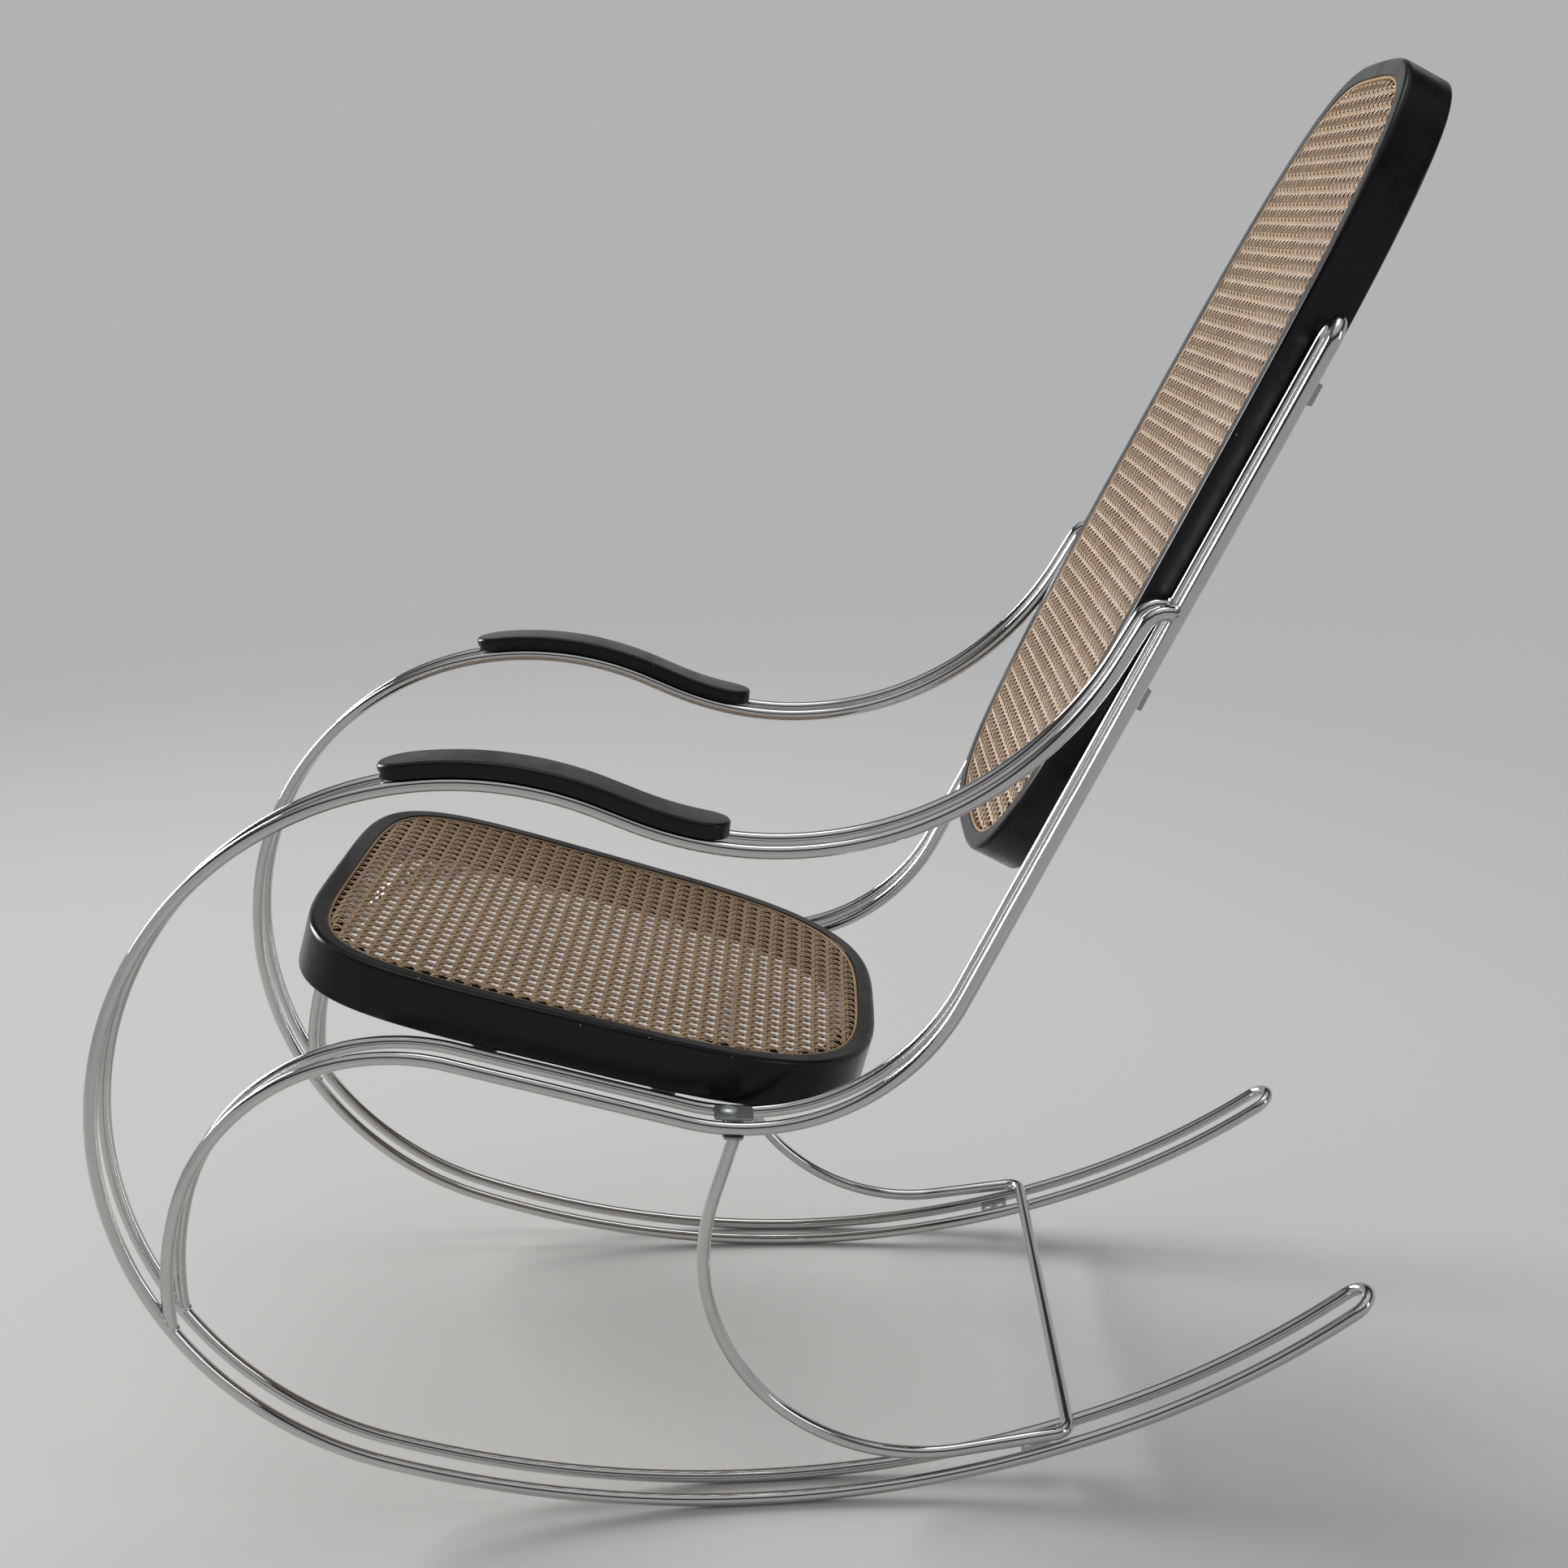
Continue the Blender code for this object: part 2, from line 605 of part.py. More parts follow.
    def rocker_plate(self, hand, side):
        """Perforated plate between the two rocker tubes, ahead of the crossbar."""
        slope = math.asin((ROCKER_PLATE_Y - ROCKER_CONTACT_Y) / ROCKER_RADIUS)
        point = (ROCKER_PLATE_Y, ROCKER_RADIUS * (1 - math.cos(slope)) + TUBE_RADIUS)
        frame = placed(side, 0.0, point, -math.degrees(slope)) @ lift(-PLATE_THICKNESS / 2)
        pitch = ROCKER_PLATE_LENGTH / ROCKER_PLATE_HOLES
        middle = (ROCKER_PLATE_HOLES - 1) / 2
        holes = [circle_loop(0.0, (n - middle) * pitch, ROCKER_PLATE_HOLE) for n in range(ROCKER_PLATE_HOLES)]
        loops = [rounded_rectangle(INSIDE_PLATE_WIDTH, ROCKER_PLATE_LENGTH), *holes]
        self.add(f"{hand}_rocker_plate", plate_mesh(loops, PLATE_THICKNESS, frame), "zinc")

    def panel(self, name, frame, outline, height):
        """Bentwood frame with its spline and its cane. Local z = 0 is the underside of the wood."""
        ring = self.add(f"{name}_frame", ring_mesh(outline, frame_section(height), frame), "black_lacquer")
        bead = offset_inward(outline, RIM_WIDTH + SPLINE_RADIUS + SPLINE_CLEARANCE)
        seat = frame @ lift(height - GROOVE_DEPTH + SPLINE_RADIUS + GAP)
        flat = np.column_stack([bead, np.zeros(len(bead))])
        spline = tube_mesh([flat], SPLINE_RADIUS, True, SPLINE_SIDES, seat)
        self.add(f"{name}_spline", spline, "spline_reed")
        edge = offset_inward(outline, RIM_WIDTH + 2 * (SPLINE_RADIUS + SPLINE_CLEARANCE) + SPLINE_CLEARANCE)
        loops = [edge, *cane_openings(offset_inward(outline, FRAME_WIDTH))]
        cane = plate_mesh(loops, CANE_THICKNESS, frame @ lift(height - CANE_BELOW_RIM - CANE_THICKNESS))
        self.add(f"{name}_cane", cane, "cane")
        return ring

    def seat_panel(self):
        """Seat frame resting on the inner seat tubes, held by four tabs with a wood screw each."""
        middle, heading = self.seat.in_piece(2, 0.5)
        along = ahead(heading)
        centre = middle - SEAT_FORWARD * along
        outline = rounded_outline(
            SEAT_LENGTH / 2,
            lambda q: half_width(centre[0] + q * along[0]) - PAIR_SPACING / 2 - SEAT_SIDE_INSIDE_TUBE,
            SEAT_FRONT_POWER,
            SEAT_REAR_POWER,
        )
        under = TUBE_RADIUS + GAP
        seat = placed(0.0, 0.0, centre, heading) @ lift(under)
        ring = self.panel("seat", seat, outline, SEAT_OVER_TUBE - under)
        inner = PAIR_SPACING / 2 + TUBE_RADIUS + GAP
        level = under - GAP - SEAT_TAB_THICKNESS
        edge = rounded_rectangle(SEAT_TAB_LENGTH, SEAT_TAB_WIDTH)
        for hand, side in SIDES.items():
            for end, station in SEAT_TAB_STATIONS.items():
                offset = -inner - SEAT_TAB_LENGTH / 2
                frame = placed(side, offset, middle + station * along, heading) @ lift(level)
                x = side * (SEAT_TAB_LENGTH / 2 - SEAT_TAB_SCREW)
                loops = [edge, circle_loop(x, 0.0, SHANK_RADIUS + GAP)]
                self.add(f"{hand}_{end}_seat_tab", plate_mesh(loops, SEAT_TAB_THICKNESS, frame), "zinc")
                place = frame @ Matrix.Translation((x, 0.0, -GAP))
                shank = SEAT_TAB_THICKNESS + 2 * GAP + SEAT_SCREW_BITE
                self.add(f"{hand}_{end}_seat_screw", screw_mesh(shank, place), "zinc")
                self.cut(ring, hole_mesh(shank + GAP, place))

    def back_panel(self):
        """Back frame between the inner uprights, on four brackets with a wood screw each."""
        foot, heading, _ = self.seat.starts[4]
        along = ahead(heading)
        centre = foot + (UPRIGHT_LENGTH - BACK_BELOW_TUBE_END) * along
        inner = PAIR_SPACING / 2 + TUBE_RADIUS + GAP
        outline = rounded_outline(
            BACK_LENGTH / 2,
            lambda q: half_width(centre[0] + q * along[0]) - inner,
            BACK_POWER,
            BACK_POWER,
        )
        behind = BACK_AHEAD_OF_TUBE - BACK_FRAME_DEPTH
        ring = self.panel("back", placed(0.0, 0.0, centre, heading) @ lift(behind), outline, BACK_FRAME_DEPTH)
        near = behind - GAP
        far = near - PLATE_THICKNESS
        half = PLATE_THICKNESS / 2
        weld = -TUBE_RADIUS - GAP
        reach = -TUBE_RADIUS - BRACKET_REACH
        corners = [(reach, far), (half, far), (half, weld), (-half, weld), (-half, near), (reach, near)]
        turn = Matrix.Rotation(math.pi / 2, 4, "X")
        for hand, side in SIDES.items():
            for end, below in BRACKET_BELOW_TUBE_END.items():
                station = foot + (UPRIGHT_LENGTH - below) * along
                frame = placed(side, -PAIR_SPACING / 2, station, heading)
                bent = [(side * x, z) for x, z in corners]
                place = frame @ turn @ lift(-BRACKET_WIDTH / 2)
                bracket = plate_mesh([bent], BRACKET_WIDTH, place)
                bracket = self.add(f"{hand}_{end}_back_bracket", bracket, "zinc")
                x = -side * (TUBE_RADIUS + BRACKET_SCREW)
                place = frame @ Matrix.Translation((x, 0.0, far - GAP))
                shank = PLATE_THICKNESS + 2 * GAP + BACK_SCREW_BITE
                self.add(f"{hand}_{end}_back_screw", screw_mesh(shank, place), "zinc")
                for part in (bracket, ring):
                    self.cut(part, hole_mesh(shank + GAP, place))

    def arm_pad(self, hand, side):
        """Pad on the arm tubes, with two plates between the tubes and a wood screw up through each."""
        start = self.rocker.distance(3, PAD_START)
        length = self.rocker.distance(5, PAD_END) - start
        across = np.linspace(-PAD_WIDTH / 2, PAD_WIDTH / 2, PAD_ROWS + 1)
        grid = []
        for place in np.linspace(-PAD_TIP, PAD_TIP, PAD_STEPS + 1):
            point, heading = self.rocker.at(start + length * (1 + place) / 2)
            base = point - (TUBE_RADIUS + GAP) * inward(heading)
            share = (1 - abs(place) ** PAD_POWER) ** (1 / PAD_POWER)
            grid += [(side * half_width(base[0]) + share * x, base[0], base[1]) for x in across]
        row = PAD_ROWS + 1
        corners = [step * row + n for step in range(PAD_STEPS) for n in range(PAD_ROWS)]
        mesh = bpy.data.meshes.new("pad")
        mesh.from_pydata(grid, [], [(c, c + 1, c + row + 1, c + row) for c in corners])
        sheet = bpy.data.objects.new("pad", mesh)
        thick = sheet.modifiers.new("thickness", "SOLIDIFY")
        thick.thickness = PAD_THICKNESS
        thick.offset = 1.0
        soft = sheet.modifiers.new("edge", "BEVEL")
        soft.width = PAD_EDGE
        soft.segments = 2
        soft.limit_method = "ANGLE"
        soft.angle_limit = math.radians(PAD_EDGE_ANGLE)
        pad = self.add(f"{hand}_arm_pad", to_mesh(sheet, Matrix.Identity(4)), "black_lacquer")
        edge = rounded_rectangle(INSIDE_PLATE_WIDTH, ARM_PLATE_LENGTH)
        loops = [edge, circle_loop(0.0, 0.0, SHANK_RADIUS + GAP)]
        below = -PLATE_THICKNESS / 2
        for end, station in ARM_PLATE_STATIONS.items():
            frame = placed(side, 0.0, *self.rocker.at(start + station * length)) @ lift(below)
            self.add(f"{hand}_{end}_arm_plate", plate_mesh(loops, PLATE_THICKNESS, frame), "zinc")
            shank = TUBE_RADIUS + GAP - below + PAD_SCREW_BITE
            self.add(f"{hand}_{end}_arm_screw", screw_mesh(shank, frame @ lift(-GAP)), "zinc")
            self.cut(pad, hole_mesh(shank + GAP, frame @ lift(-GAP)))

    def settle(self):
        """Sets the lowest point on the floor and centres the chair on its own box."""
        bpy.context.view_layer.update()
        graph = bpy.context.evaluated_depsgraph_get()
        corners = []
        for part in self.parts.objects:
            corners += [Vector(corner) for corner in part.evaluated_get(graph).bound_box]
        low = [min(corner[axis] for corner in corners) for axis in range(3)]
        high = [max(corner[axis] for corner in corners) for axis in range(3)]
        move = Matrix.Translation((-(low[0] + high[0]) / 2, -(low[1] + high[1]) / 2, -low[2]))
        for made in [*self.parts.objects, *self.cutters.objects]:
            made.data.transform(move)


def main():
    """Builds the chair."""
    for old in list(bpy.data.objects):
        bpy.data.objects.remove(old)
    chair = Chair()
    for hand, side in SIDES.items():
        chair.tubes(hand, side)
        chair.clamp(hand, side)
        chair.rocker_plate(hand, side)
        chair.arm_pad(hand, side)
    chair.rear_stretcher()
    chair.seat_panel()
    chair.back_panel()
    chair.settle()


main()
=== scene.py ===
"""Rocking chair: chromed tube pairs, a cane seat and a cane back in black bentwood frames, black arm rests.

Metres, +Z up, and the sitter faces -Y. Every side line is drawn in the side view (Y, Z) and set out at a half
width that narrows toward the rear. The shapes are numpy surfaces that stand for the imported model's nodes.
"""

import json
import logging
import math
from collections.abc import Callable, Sequence
from dataclasses import dataclass, field
from enum import Enum, IntEnum

import bmesh
import bpy
import numpy as np
from mathutils import Matrix

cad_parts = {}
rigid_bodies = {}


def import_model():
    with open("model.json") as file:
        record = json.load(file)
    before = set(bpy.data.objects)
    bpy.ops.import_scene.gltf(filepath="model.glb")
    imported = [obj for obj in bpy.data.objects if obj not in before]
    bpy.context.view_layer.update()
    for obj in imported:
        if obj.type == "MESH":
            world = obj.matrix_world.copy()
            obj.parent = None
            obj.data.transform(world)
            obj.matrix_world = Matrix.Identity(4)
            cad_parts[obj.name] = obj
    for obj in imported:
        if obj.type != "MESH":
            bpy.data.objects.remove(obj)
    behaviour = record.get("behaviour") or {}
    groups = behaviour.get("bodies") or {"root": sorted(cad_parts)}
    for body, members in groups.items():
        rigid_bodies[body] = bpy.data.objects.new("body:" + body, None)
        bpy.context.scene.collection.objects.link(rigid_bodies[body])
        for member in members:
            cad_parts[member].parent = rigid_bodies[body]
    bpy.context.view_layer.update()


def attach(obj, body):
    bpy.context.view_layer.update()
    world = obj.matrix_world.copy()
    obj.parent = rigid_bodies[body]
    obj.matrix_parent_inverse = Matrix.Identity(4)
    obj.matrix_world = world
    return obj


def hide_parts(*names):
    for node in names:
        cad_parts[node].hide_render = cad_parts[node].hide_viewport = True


LOG = logging.getLogger("rocking_chair")
BODY = "root"
SEED = 20
GAP = 0.0003
TINY = 1e-9
OUTLINE_POINTS = 360
DENSE_POINTS = 7201
Colour = tuple[float, float, float, float]
Stations = tuple[tuple[str, float], ...]
Socket = bpy.types.NodeSocket
Sockets = dict[str, Socket]
Feeds = dict[str | int, object]


class Hand(Enum):
    """The sitter's two sides, with the sign of X there."""

    LEFT = 1.0
    RIGHT = -1.0

    @property
    def word(self) -> str:
        """Side word that starts a piece's name."""
        return self.name.lower()


class Course(Enum):
    """The four courses of strands in the cane, as (direction across, direction along)."""

    UPRIGHTS = (0.0, 1.0)
    CROSSES = (1.0, 0.0)
    RISING = (math.sqrt(0.5), math.sqrt(0.5))
    FALLING = (math.sqrt(0.5), -math.sqrt(0.5))

    @property
    def straight(self) -> bool:
        """Whether the strands run in pairs along the frame, and not on the slant."""
        return 0.0 in self.value


class RockerPiece(IntEnum):
    """Pieces of the rocker line that others are set out from, by their number from the rear tip."""

    FRONT_LOWER = 2
    FRONT_UPPER = 3
    ARM_DIP = 5


class SeatPiece(IntEnum):
    """Pieces of the seat line that others are set out from, by their number from the foot."""

    STRAIGHT = 2
    DIP = 3
    UPRIGHT = 4


def ahead(heading: np.ndarray) -> np.ndarray:
    """Unit direction of travel in (Y, Z) at headings in degrees from the front, turning up."""
    angle = np.radians(heading)
    return np.stack([-np.cos(angle), np.sin(angle)], axis=-1)


def inward(heading: np.ndarray) -> np.ndarray:
    """Unit direction in (Y, Z) toward the centre of a turn with positive sweep."""
    angle = np.radians(heading)
    return np.stack([np.sin(angle), np.cos(angle)], axis=-1)


def unit(vectors: np.ndarray) -> np.ndarray:
    """Vectors along the last axis, each scaled to length one."""
    return vectors / np.linalg.norm(vectors, axis=-1, keepdims=True)


def smooth(low: float, high: float, value: np.ndarray) -> np.ndarray:
    """Smooth step from 0 at low to 1 at high: 3 s^2 - 2 s^3 of the clipped share s."""
    share = np.clip((value - low) / (high - low), 0.0, 1.0)
    return share * share * (3.0 - 2.0 * share)


def placement(axes: np.ndarray, spot: Sequence[float]) -> np.ndarray:
    """Placement at a spot.

    Args:
        axes: Its axes, as the columns of a 3 x 3 array.
        spot: Where it is.

    Returns:
        A 4 x 4 array.
    """
    made = np.eye(4)
    made[:3, :3] = axes
    made[:3, 3] = spot
    return made


def shift(x: float, y: float, z: float) -> np.ndarray:
    """Placement that only moves."""
    return placement(np.eye(3), (x, y, z))


def moved(place: np.ndarray, points: np.ndarray) -> np.ndarray:
    """Points carried by a placement."""
    return points @ place[:3, :3].T + place[:3, 3]


def circle(radius: float, sides: int) -> np.ndarray:
    """Round section (K, 2)."""
    turn = np.linspace(0.0, math.tau, sides, endpoint=False)
    return radius * np.column_stack([np.cos(turn), np.sin(turn)])


def bunched(count: int) -> np.ndarray:
    """Numbers from -1 to 1 that lie closer together toward both ends, as the sine of an even half turn."""
    return np.sin(np.linspace(-math.pi / 2, math.pi / 2, count))


class SideLine:
    """Side-view line of arcs and straights that join smoothly.

    A heading in degrees is measured from the front (-Y) turning up. A piece is (radius, sweep) for an arc,
    where a positive sweep turns up and over to the back, or (0, length) for a straight.
    """

    def __init__(self, start: Sequence[float], heading: float, pieces: list[tuple[float, float]]) -> None:
        """Sets the pieces end to end.

        Args:
            start: First point, (Y, Z).
            heading: Heading there.
            pieces: The arcs and straights in order.
        """
        self.pieces = pieces
        self.radii = np.array([math.copysign(radius, amount) if radius else 0.0 for radius, amount in pieces])
        sweeps = np.array([amount if radius else 0.0 for radius, amount in pieces])
        lengths = [radius * math.radians(abs(amount)) if radius else amount for radius, amount in pieces]
        self.lengths = np.array(lengths)
        self.marks = np.append(0.0, np.cumsum(self.lengths))
        self.headings = heading + np.append(0.0, np.cumsum(sweeps))
        before, after = self.headings[:-1], self.headings[1:]
        arcs = self.radii[:, None] * (inward(before) - inward(after))
        straights = np.where(self.radii == 0.0, self.lengths, 0.0)[:, None] * ahead(before)
        self.points = np.array(start) + np.vstack([np.zeros(2), np.cumsum(arcs + straights, axis=0)])

    def at(self, distance: np.ndarray) -> tuple[np.ndarray, np.ndarray]:
        """Points and headings at distances along the line.

        Args:
            distance: Distances from the start.

        Returns:
            Points (N, 2) and headings (N).
        """
        index = np.clip(np.searchsorted(self.marks, distance, side="right") - 1, 0, len(self.pieces) - 1)
        run = distance - self.marks[index]
        radius = self.radii[index]
        straight = radius == 0.0
        bend = np.degrees(run / np.where(straight, 1.0, radius))
        turned = self.headings[index] + np.where(straight, 0.0, bend)
        arc = radius[..., None] * (inward(self.headings[index]) - inward(turned))
        line = np.where(straight, run, 0.0)[..., None] * ahead(self.headings[index])
        return self.points[index] + arc + line, turned

    def along(self, index: int, share: float) -> float:
        """Distance along the line to a share of one piece."""
        return float(self.marks[index] + share * self.lengths[index])

    def spot(self, distance: float) -> tuple[np.ndarray, float]:
        """Point and heading at one distance."""
        points, headings = self.at(np.array([distance]))
        return points[0], float(headings[0])

    def even(self, step: float) -> np.ndarray:
        """Distances along the whole line at about one step."""
        return np.linspace(0.0, self.marks[-1], round(self.marks[-1] / step) + 1)


@dataclass(frozen=True)
class Stance:
    """Sizes that both side frames share, and the move that sets the chair on the floor."""

    half_width: float = 0.211
    toe_angle: float = 2.805
    pair_spacing: float = 0.031
    tube_radius: float = 0.005
    settled: tuple[float, float, float] = (0.0, 0.005807, -0.000217)

    @property
    def pair_half(self) -> float:
        """Half of the spacing of a tube pair."""
        return self.pair_spacing / 2

    def half(self, y: np.ndarray) -> np.ndarray:
        """Half width to the middle of a tube pair."""
        return self.half_width - math.tan(math.radians(self.toe_angle)) * y

    def strand(self, points: np.ndarray, side: float, offset: np.ndarray) -> np.ndarray:
        """Side-view points set out on one side.

        Args:
            points: Points (N, 2).
            side: Sign of X.
            offset: Distance outward from the middle of the pair, one for all points or one for each.

        Returns:
            Points (N, 3), on the floor.
        """
        return np.column_stack([side * (self.half(points[:, 0]) + offset), points]) + self.settled

    def placed(self, side: float, offset: float, point: np.ndarray, heading: float) -> np.ndarray:
        """Placement on a line: local x across the chair, y along toward the rear, z up from the line.

        Args:
            side: Sign of X, or zero for the middle of the chair.
            offset: Distance outward from the middle of the pair.
            point: Point (Y, Z) of the line.
            heading: Heading of the line there.

        Returns:
            A placement, turned with the toe-in.
        """
        along = ahead(heading)
        along = along * math.copysign(1.0, along[0])
        tilt = np.array([[1, 0, 0], [0, along[0], -along[1]], [0, along[1], along[0]]])
        toe = side * math.radians(self.toe_angle)
        yaw = np.array([[math.cos(toe), -math.sin(toe), 0], [math.sin(toe), math.cos(toe), 0], [0, 0, 1]])
        return placement(tilt @ yaw, self.strand(point[None], side, offset)[0])


STANCE = Stance()
LENGTHWAYS = placement(np.array([[0, 1, 0], [-1, 0, 0], [0, 0, 1]]), (0, 0, 0))
UPSIDE_DOWN = placement(np.diag([1, -1, -1]), (0, 0, 0))


@dataclass
class ChairLines:
    """The three side lines of the chair: rocker with arm, seat with back, and rear stretcher."""

    contact_y: float = -0.028
    rocker: tuple[float, float] = (0.873, 38.25)
    tail: tuple[float, float] = (0.720, 14.9)
    front_lower: tuple[float, float] = (0.282, 60.2)
    front_upper: tuple[float, float] = (0.267, 125.8)
    arm_straight: float = 0.024
    arm_dip: tuple[float, float] = (0.274, -83.0)
    arm_rise: float = 0.027
    arm_end_sweep: float = 90.0
    foot_height: float = 0.173
    foot_heading: float = 86.5
    seat_lower: tuple[float, float] = (0.250, 22.6)
    seat_front: tuple[float, float] = (0.166, 88.5)
    seat_straight: float = 0.176
    seat_dip: tuple[float, float] = (0.175, -78.5)
    upright: float = 0.523
    crossbar_y: float = 0.207
    stretcher_corner: float = 0.012
    stretcher_heading: float = -7.2
    stretcher_straight: float = 0.071
    stretcher_lower: tuple[float, float] = (0.1714, 47.9)
    stretcher_upper: tuple[float, float] = (0.1642, 69.5)
    stretcher_top: float = 0.085

    def rocker_line(self) -> SideLine:
        """Rocker and arm, from the rear tip along the floor, up round the front and back to the upright.

        The last arc's radius is solved so that the arm ends on the upright and square to itself.

        Returns:
            The line.
        """
        behind = -self.rocker[1] / 2
        tip = behind - self.tail[1]
        centre = np.array([self.contact_y, self.rocker[0] + STANCE.tube_radius])
        start = centre - self.rocker[0] * inward(behind) - self.tail[0] * (inward(tip) - inward(behind))
        pieces = [self.tail, self.rocker, self.front_lower, self.front_upper]
        pieces += [(0.0, self.arm_straight), self.arm_dip, (0.0, self.arm_rise)]
        line = SideLine(start, tip, pieces)
        seat = self.seat_line(line)
        across = inward(seat.headings[SeatPiece.UPRIGHT])
        last = line.headings[-1]
        reach = (seat.points[SeatPiece.UPRIGHT] - line.points[-1]) @ across
        radius = reach / ((inward(last) + ahead(last)) @ across)
        return SideLine(start, tip, [*pieces, (radius, self.arm_end_sweep)])

    def seat_line(self, rocker: SideLine) -> SideLine:
        """Seat and back, from the foot on the rocker over the seat front, through the dip and up the back.

        Args:
            rocker: The rocker line that carries the foot.

        Returns:
            The line up to the half-round bend at the top.
        """
        radius = self.front_lower[0]
        front = RockerPiece.FRONT_LOWER
        centre = rocker.points[front] + radius * inward(rocker.headings[front])
        reach = math.sqrt(radius**2 - (centre[1] - self.foot_height) ** 2)
        pieces = [self.seat_lower, self.seat_front, (0.0, self.seat_straight), self.seat_dip]
        pieces.append((0.0, self.upright))
        return SideLine((centre[0] - reach, self.foot_height), self.foot_heading, pieces)

    def stretcher_line(self) -> SideLine:
        """Stretcher side, from its lower corner forward and up to the clamp.

        Returns:
            The line.
        """
        pieces = [(0.0, self.stretcher_straight), self.stretcher_lower, self.stretcher_upper]
        pieces.append((0.0, self.stretcher_top))
        corner = self.crossbar() + self.stretcher_corner * ahead(self.stretcher_heading)
        return SideLine(corner, self.stretcher_heading, pieces)

    def crossbar(self) -> np.ndarray:
        """Middle (Y, Z) of the crossbar, which rests on the rockers."""
        point, slope = self.on_rocker(self.crossbar_y)
        return point + np.array([0.0, (2 * STANCE.tube_radius + GAP) / math.cos(slope)])

    def on_rocker(self, y: float) -> tuple[np.ndarray, float]:
        """Point (Y, Z) of the rocker tube's middle at a place behind its contact, and the slope there."""
        slope = math.asin((y - self.contact_y) / self.rocker[0])
        return np.array([y, self.rocker[0] * (1 - math.cos(slope)) + STANCE.tube_radius]), slope


def meshed(
    name: str,
    grid: np.ndarray,
    ring: bool = False,
    caps: tuple[bool, bool] = (True, True),
    sharp: float | None = None,
    **marks: np.ndarray,
) -> bpy.types.Mesh:
    """Mesh of surfaces (S, N, K, 3) whose K direction closes on itself, with its faces turned outward.

    Args:
        name: Name of the mesh.
        grid: S surfaces, each a section of K points carried along N stations.
        ring: Whether the N direction closes on itself too.
        caps: Whether the first and the last end get a face, where the N direction is open.
        sharp: Angle in degrees past which an edge stays sharp, or None for a smooth mesh.
        marks: Values for each point, of a shape that broadcasts to (S, N, K) or (S, N, K, 3).

    Returns:
        The mesh, with its point values as attributes.
    """
    points = grid.reshape(-1, 3)
    index = np.arange(len(points)).reshape(grid.shape[:3])
    start, stop = (index, np.roll(index, -1, axis=1)) if ring else (index[:, :-1], index[:, 1:])
    quads = np.stack([start, np.roll(start, -1, axis=2), np.roll(stop, -1, axis=2), stop], axis=-1)
    faces = [quads.reshape(-1, 4)]
    if not ring:
        faces += [end for end, closed in zip((index[:, 0, ::-1], index[:, -1]), caps) if closed]
    spots = [points[face] for face in faces]
    volume = sum(np.einsum("fk,ftk->", spot[:, 0], np.cross(spot[:, 1:-1], spot[:, 2:])) for spot in spots)
    faces = [face if volume > 0 else face[:, ::-1] for face in faces]
    sizes = np.concatenate([np.full(len(face), face.shape[1]) for face in faces])
    corners = np.concatenate([face.ravel() for face in faces])
    mesh = bpy.data.meshes.new(name)
    mesh.vertices.add(len(points))
    mesh.vertices.foreach_set("co", points.astype(np.float32).ravel())
    mesh.loops.add(len(corners))
    mesh.loops.foreach_set("vertex_index", corners.astype(np.int32))
    mesh.polygons.add(len(sizes))
    mesh.polygons.foreach_set("loop_start", np.append(0, np.cumsum(sizes)[:-1]).astype(np.int32))
    mesh.update(calc_edges=True)
    mesh.validate()
    for label, values in marks.items():
        vector = values.ndim == grid.ndim
        spread = np.broadcast_to(values, grid.shape if vector else grid.shape[:3])
        made = mesh.attributes.new(label, "FLOAT_VECTOR" if vector else "FLOAT", "POINT")
        made.data.foreach_set("vector" if vector else "value", spread.astype(np.float32).ravel())
    mesh.polygons.foreach_set("use_smooth", np.ones(len(mesh.polygons), dtype=bool))
    if sharp is not None:
        mesh.set_sharp_from_angle(angle=math.radians(sharp))
    return mesh


def swept(points: np.ndarray, normals: np.ndarray, section: np.ndarray, ring: bool = False) -> np.ndarray:
    """Section carried along a path: point + across * binormal + up * normal.

    Args:
        points: Path (N, 3).
        normals: Rough normals (N, 3), squared up to the path here.
        section: Section (K, 2) or one for each station (N, K, 2), as (across, up).
        ring: Whether the path closes on itself.

    Returns:
        The surface (N, K, 3).
    """
    steps = unit(np.roll(points, -1, axis=0) - points)
    if not ring:
        steps[-1] = steps[-2]
    before = np.roll(steps, 1, axis=0)
    if not ring:
        before[0] = steps[0]
    tangents = unit(steps + before)
    across = unit(np.cross(tangents, normals))
    up = np.cross(across, tangents)
    section = np.broadcast_to(section, (len(points), *section.shape[-2:]))
    return points[:, None] + section[..., :1] * across[:, None] + section[..., 1:] * up[:, None]


def filleted(corners: Sequence[Sequence[float]], steps: int, margin: float) -> tuple[np.ndarray, np.ndarray]:
    """Closed section with each corner rounded by a parabola between its two tangent points.

    Args:
        corners: (across, up, round) of each corner; round is the distance to the tangent points.
        steps: Steps round a corner.
        margin: Distance past a tangent point at which the edge mark has faded to zero.

    Returns:
        Points (K, 2), and the edge mark (K) that is one on the rounded corners.
    """
    table = np.array(corners)
    spots, rounds = table[:, :2], table[:, 2:]
    back = unit(np.roll(spots, 1, axis=0) - spots)
    on = unit(np.roll(spots, -1, axis=0) - spots)
    share = np.linspace(0.0, 1.0, steps + 1)[None, :, None]
    enter, leave = (spots + rounds * back)[:, None], (spots + rounds * on)[:, None]
    arc = (1 - share) ** 2 * enter + 2 * share * (1 - share) * spots[:, None] + share**2 * leave
    loop = np.concatenate([enter + margin * back[:, None], arc, leave + margin * on[:, None]], axis=1)
    mark = np.ones(loop.shape[:2])
    mark[:, [0, -1]] = 0.0
    return loop.reshape(-1, 2), mark.reshape(-1)


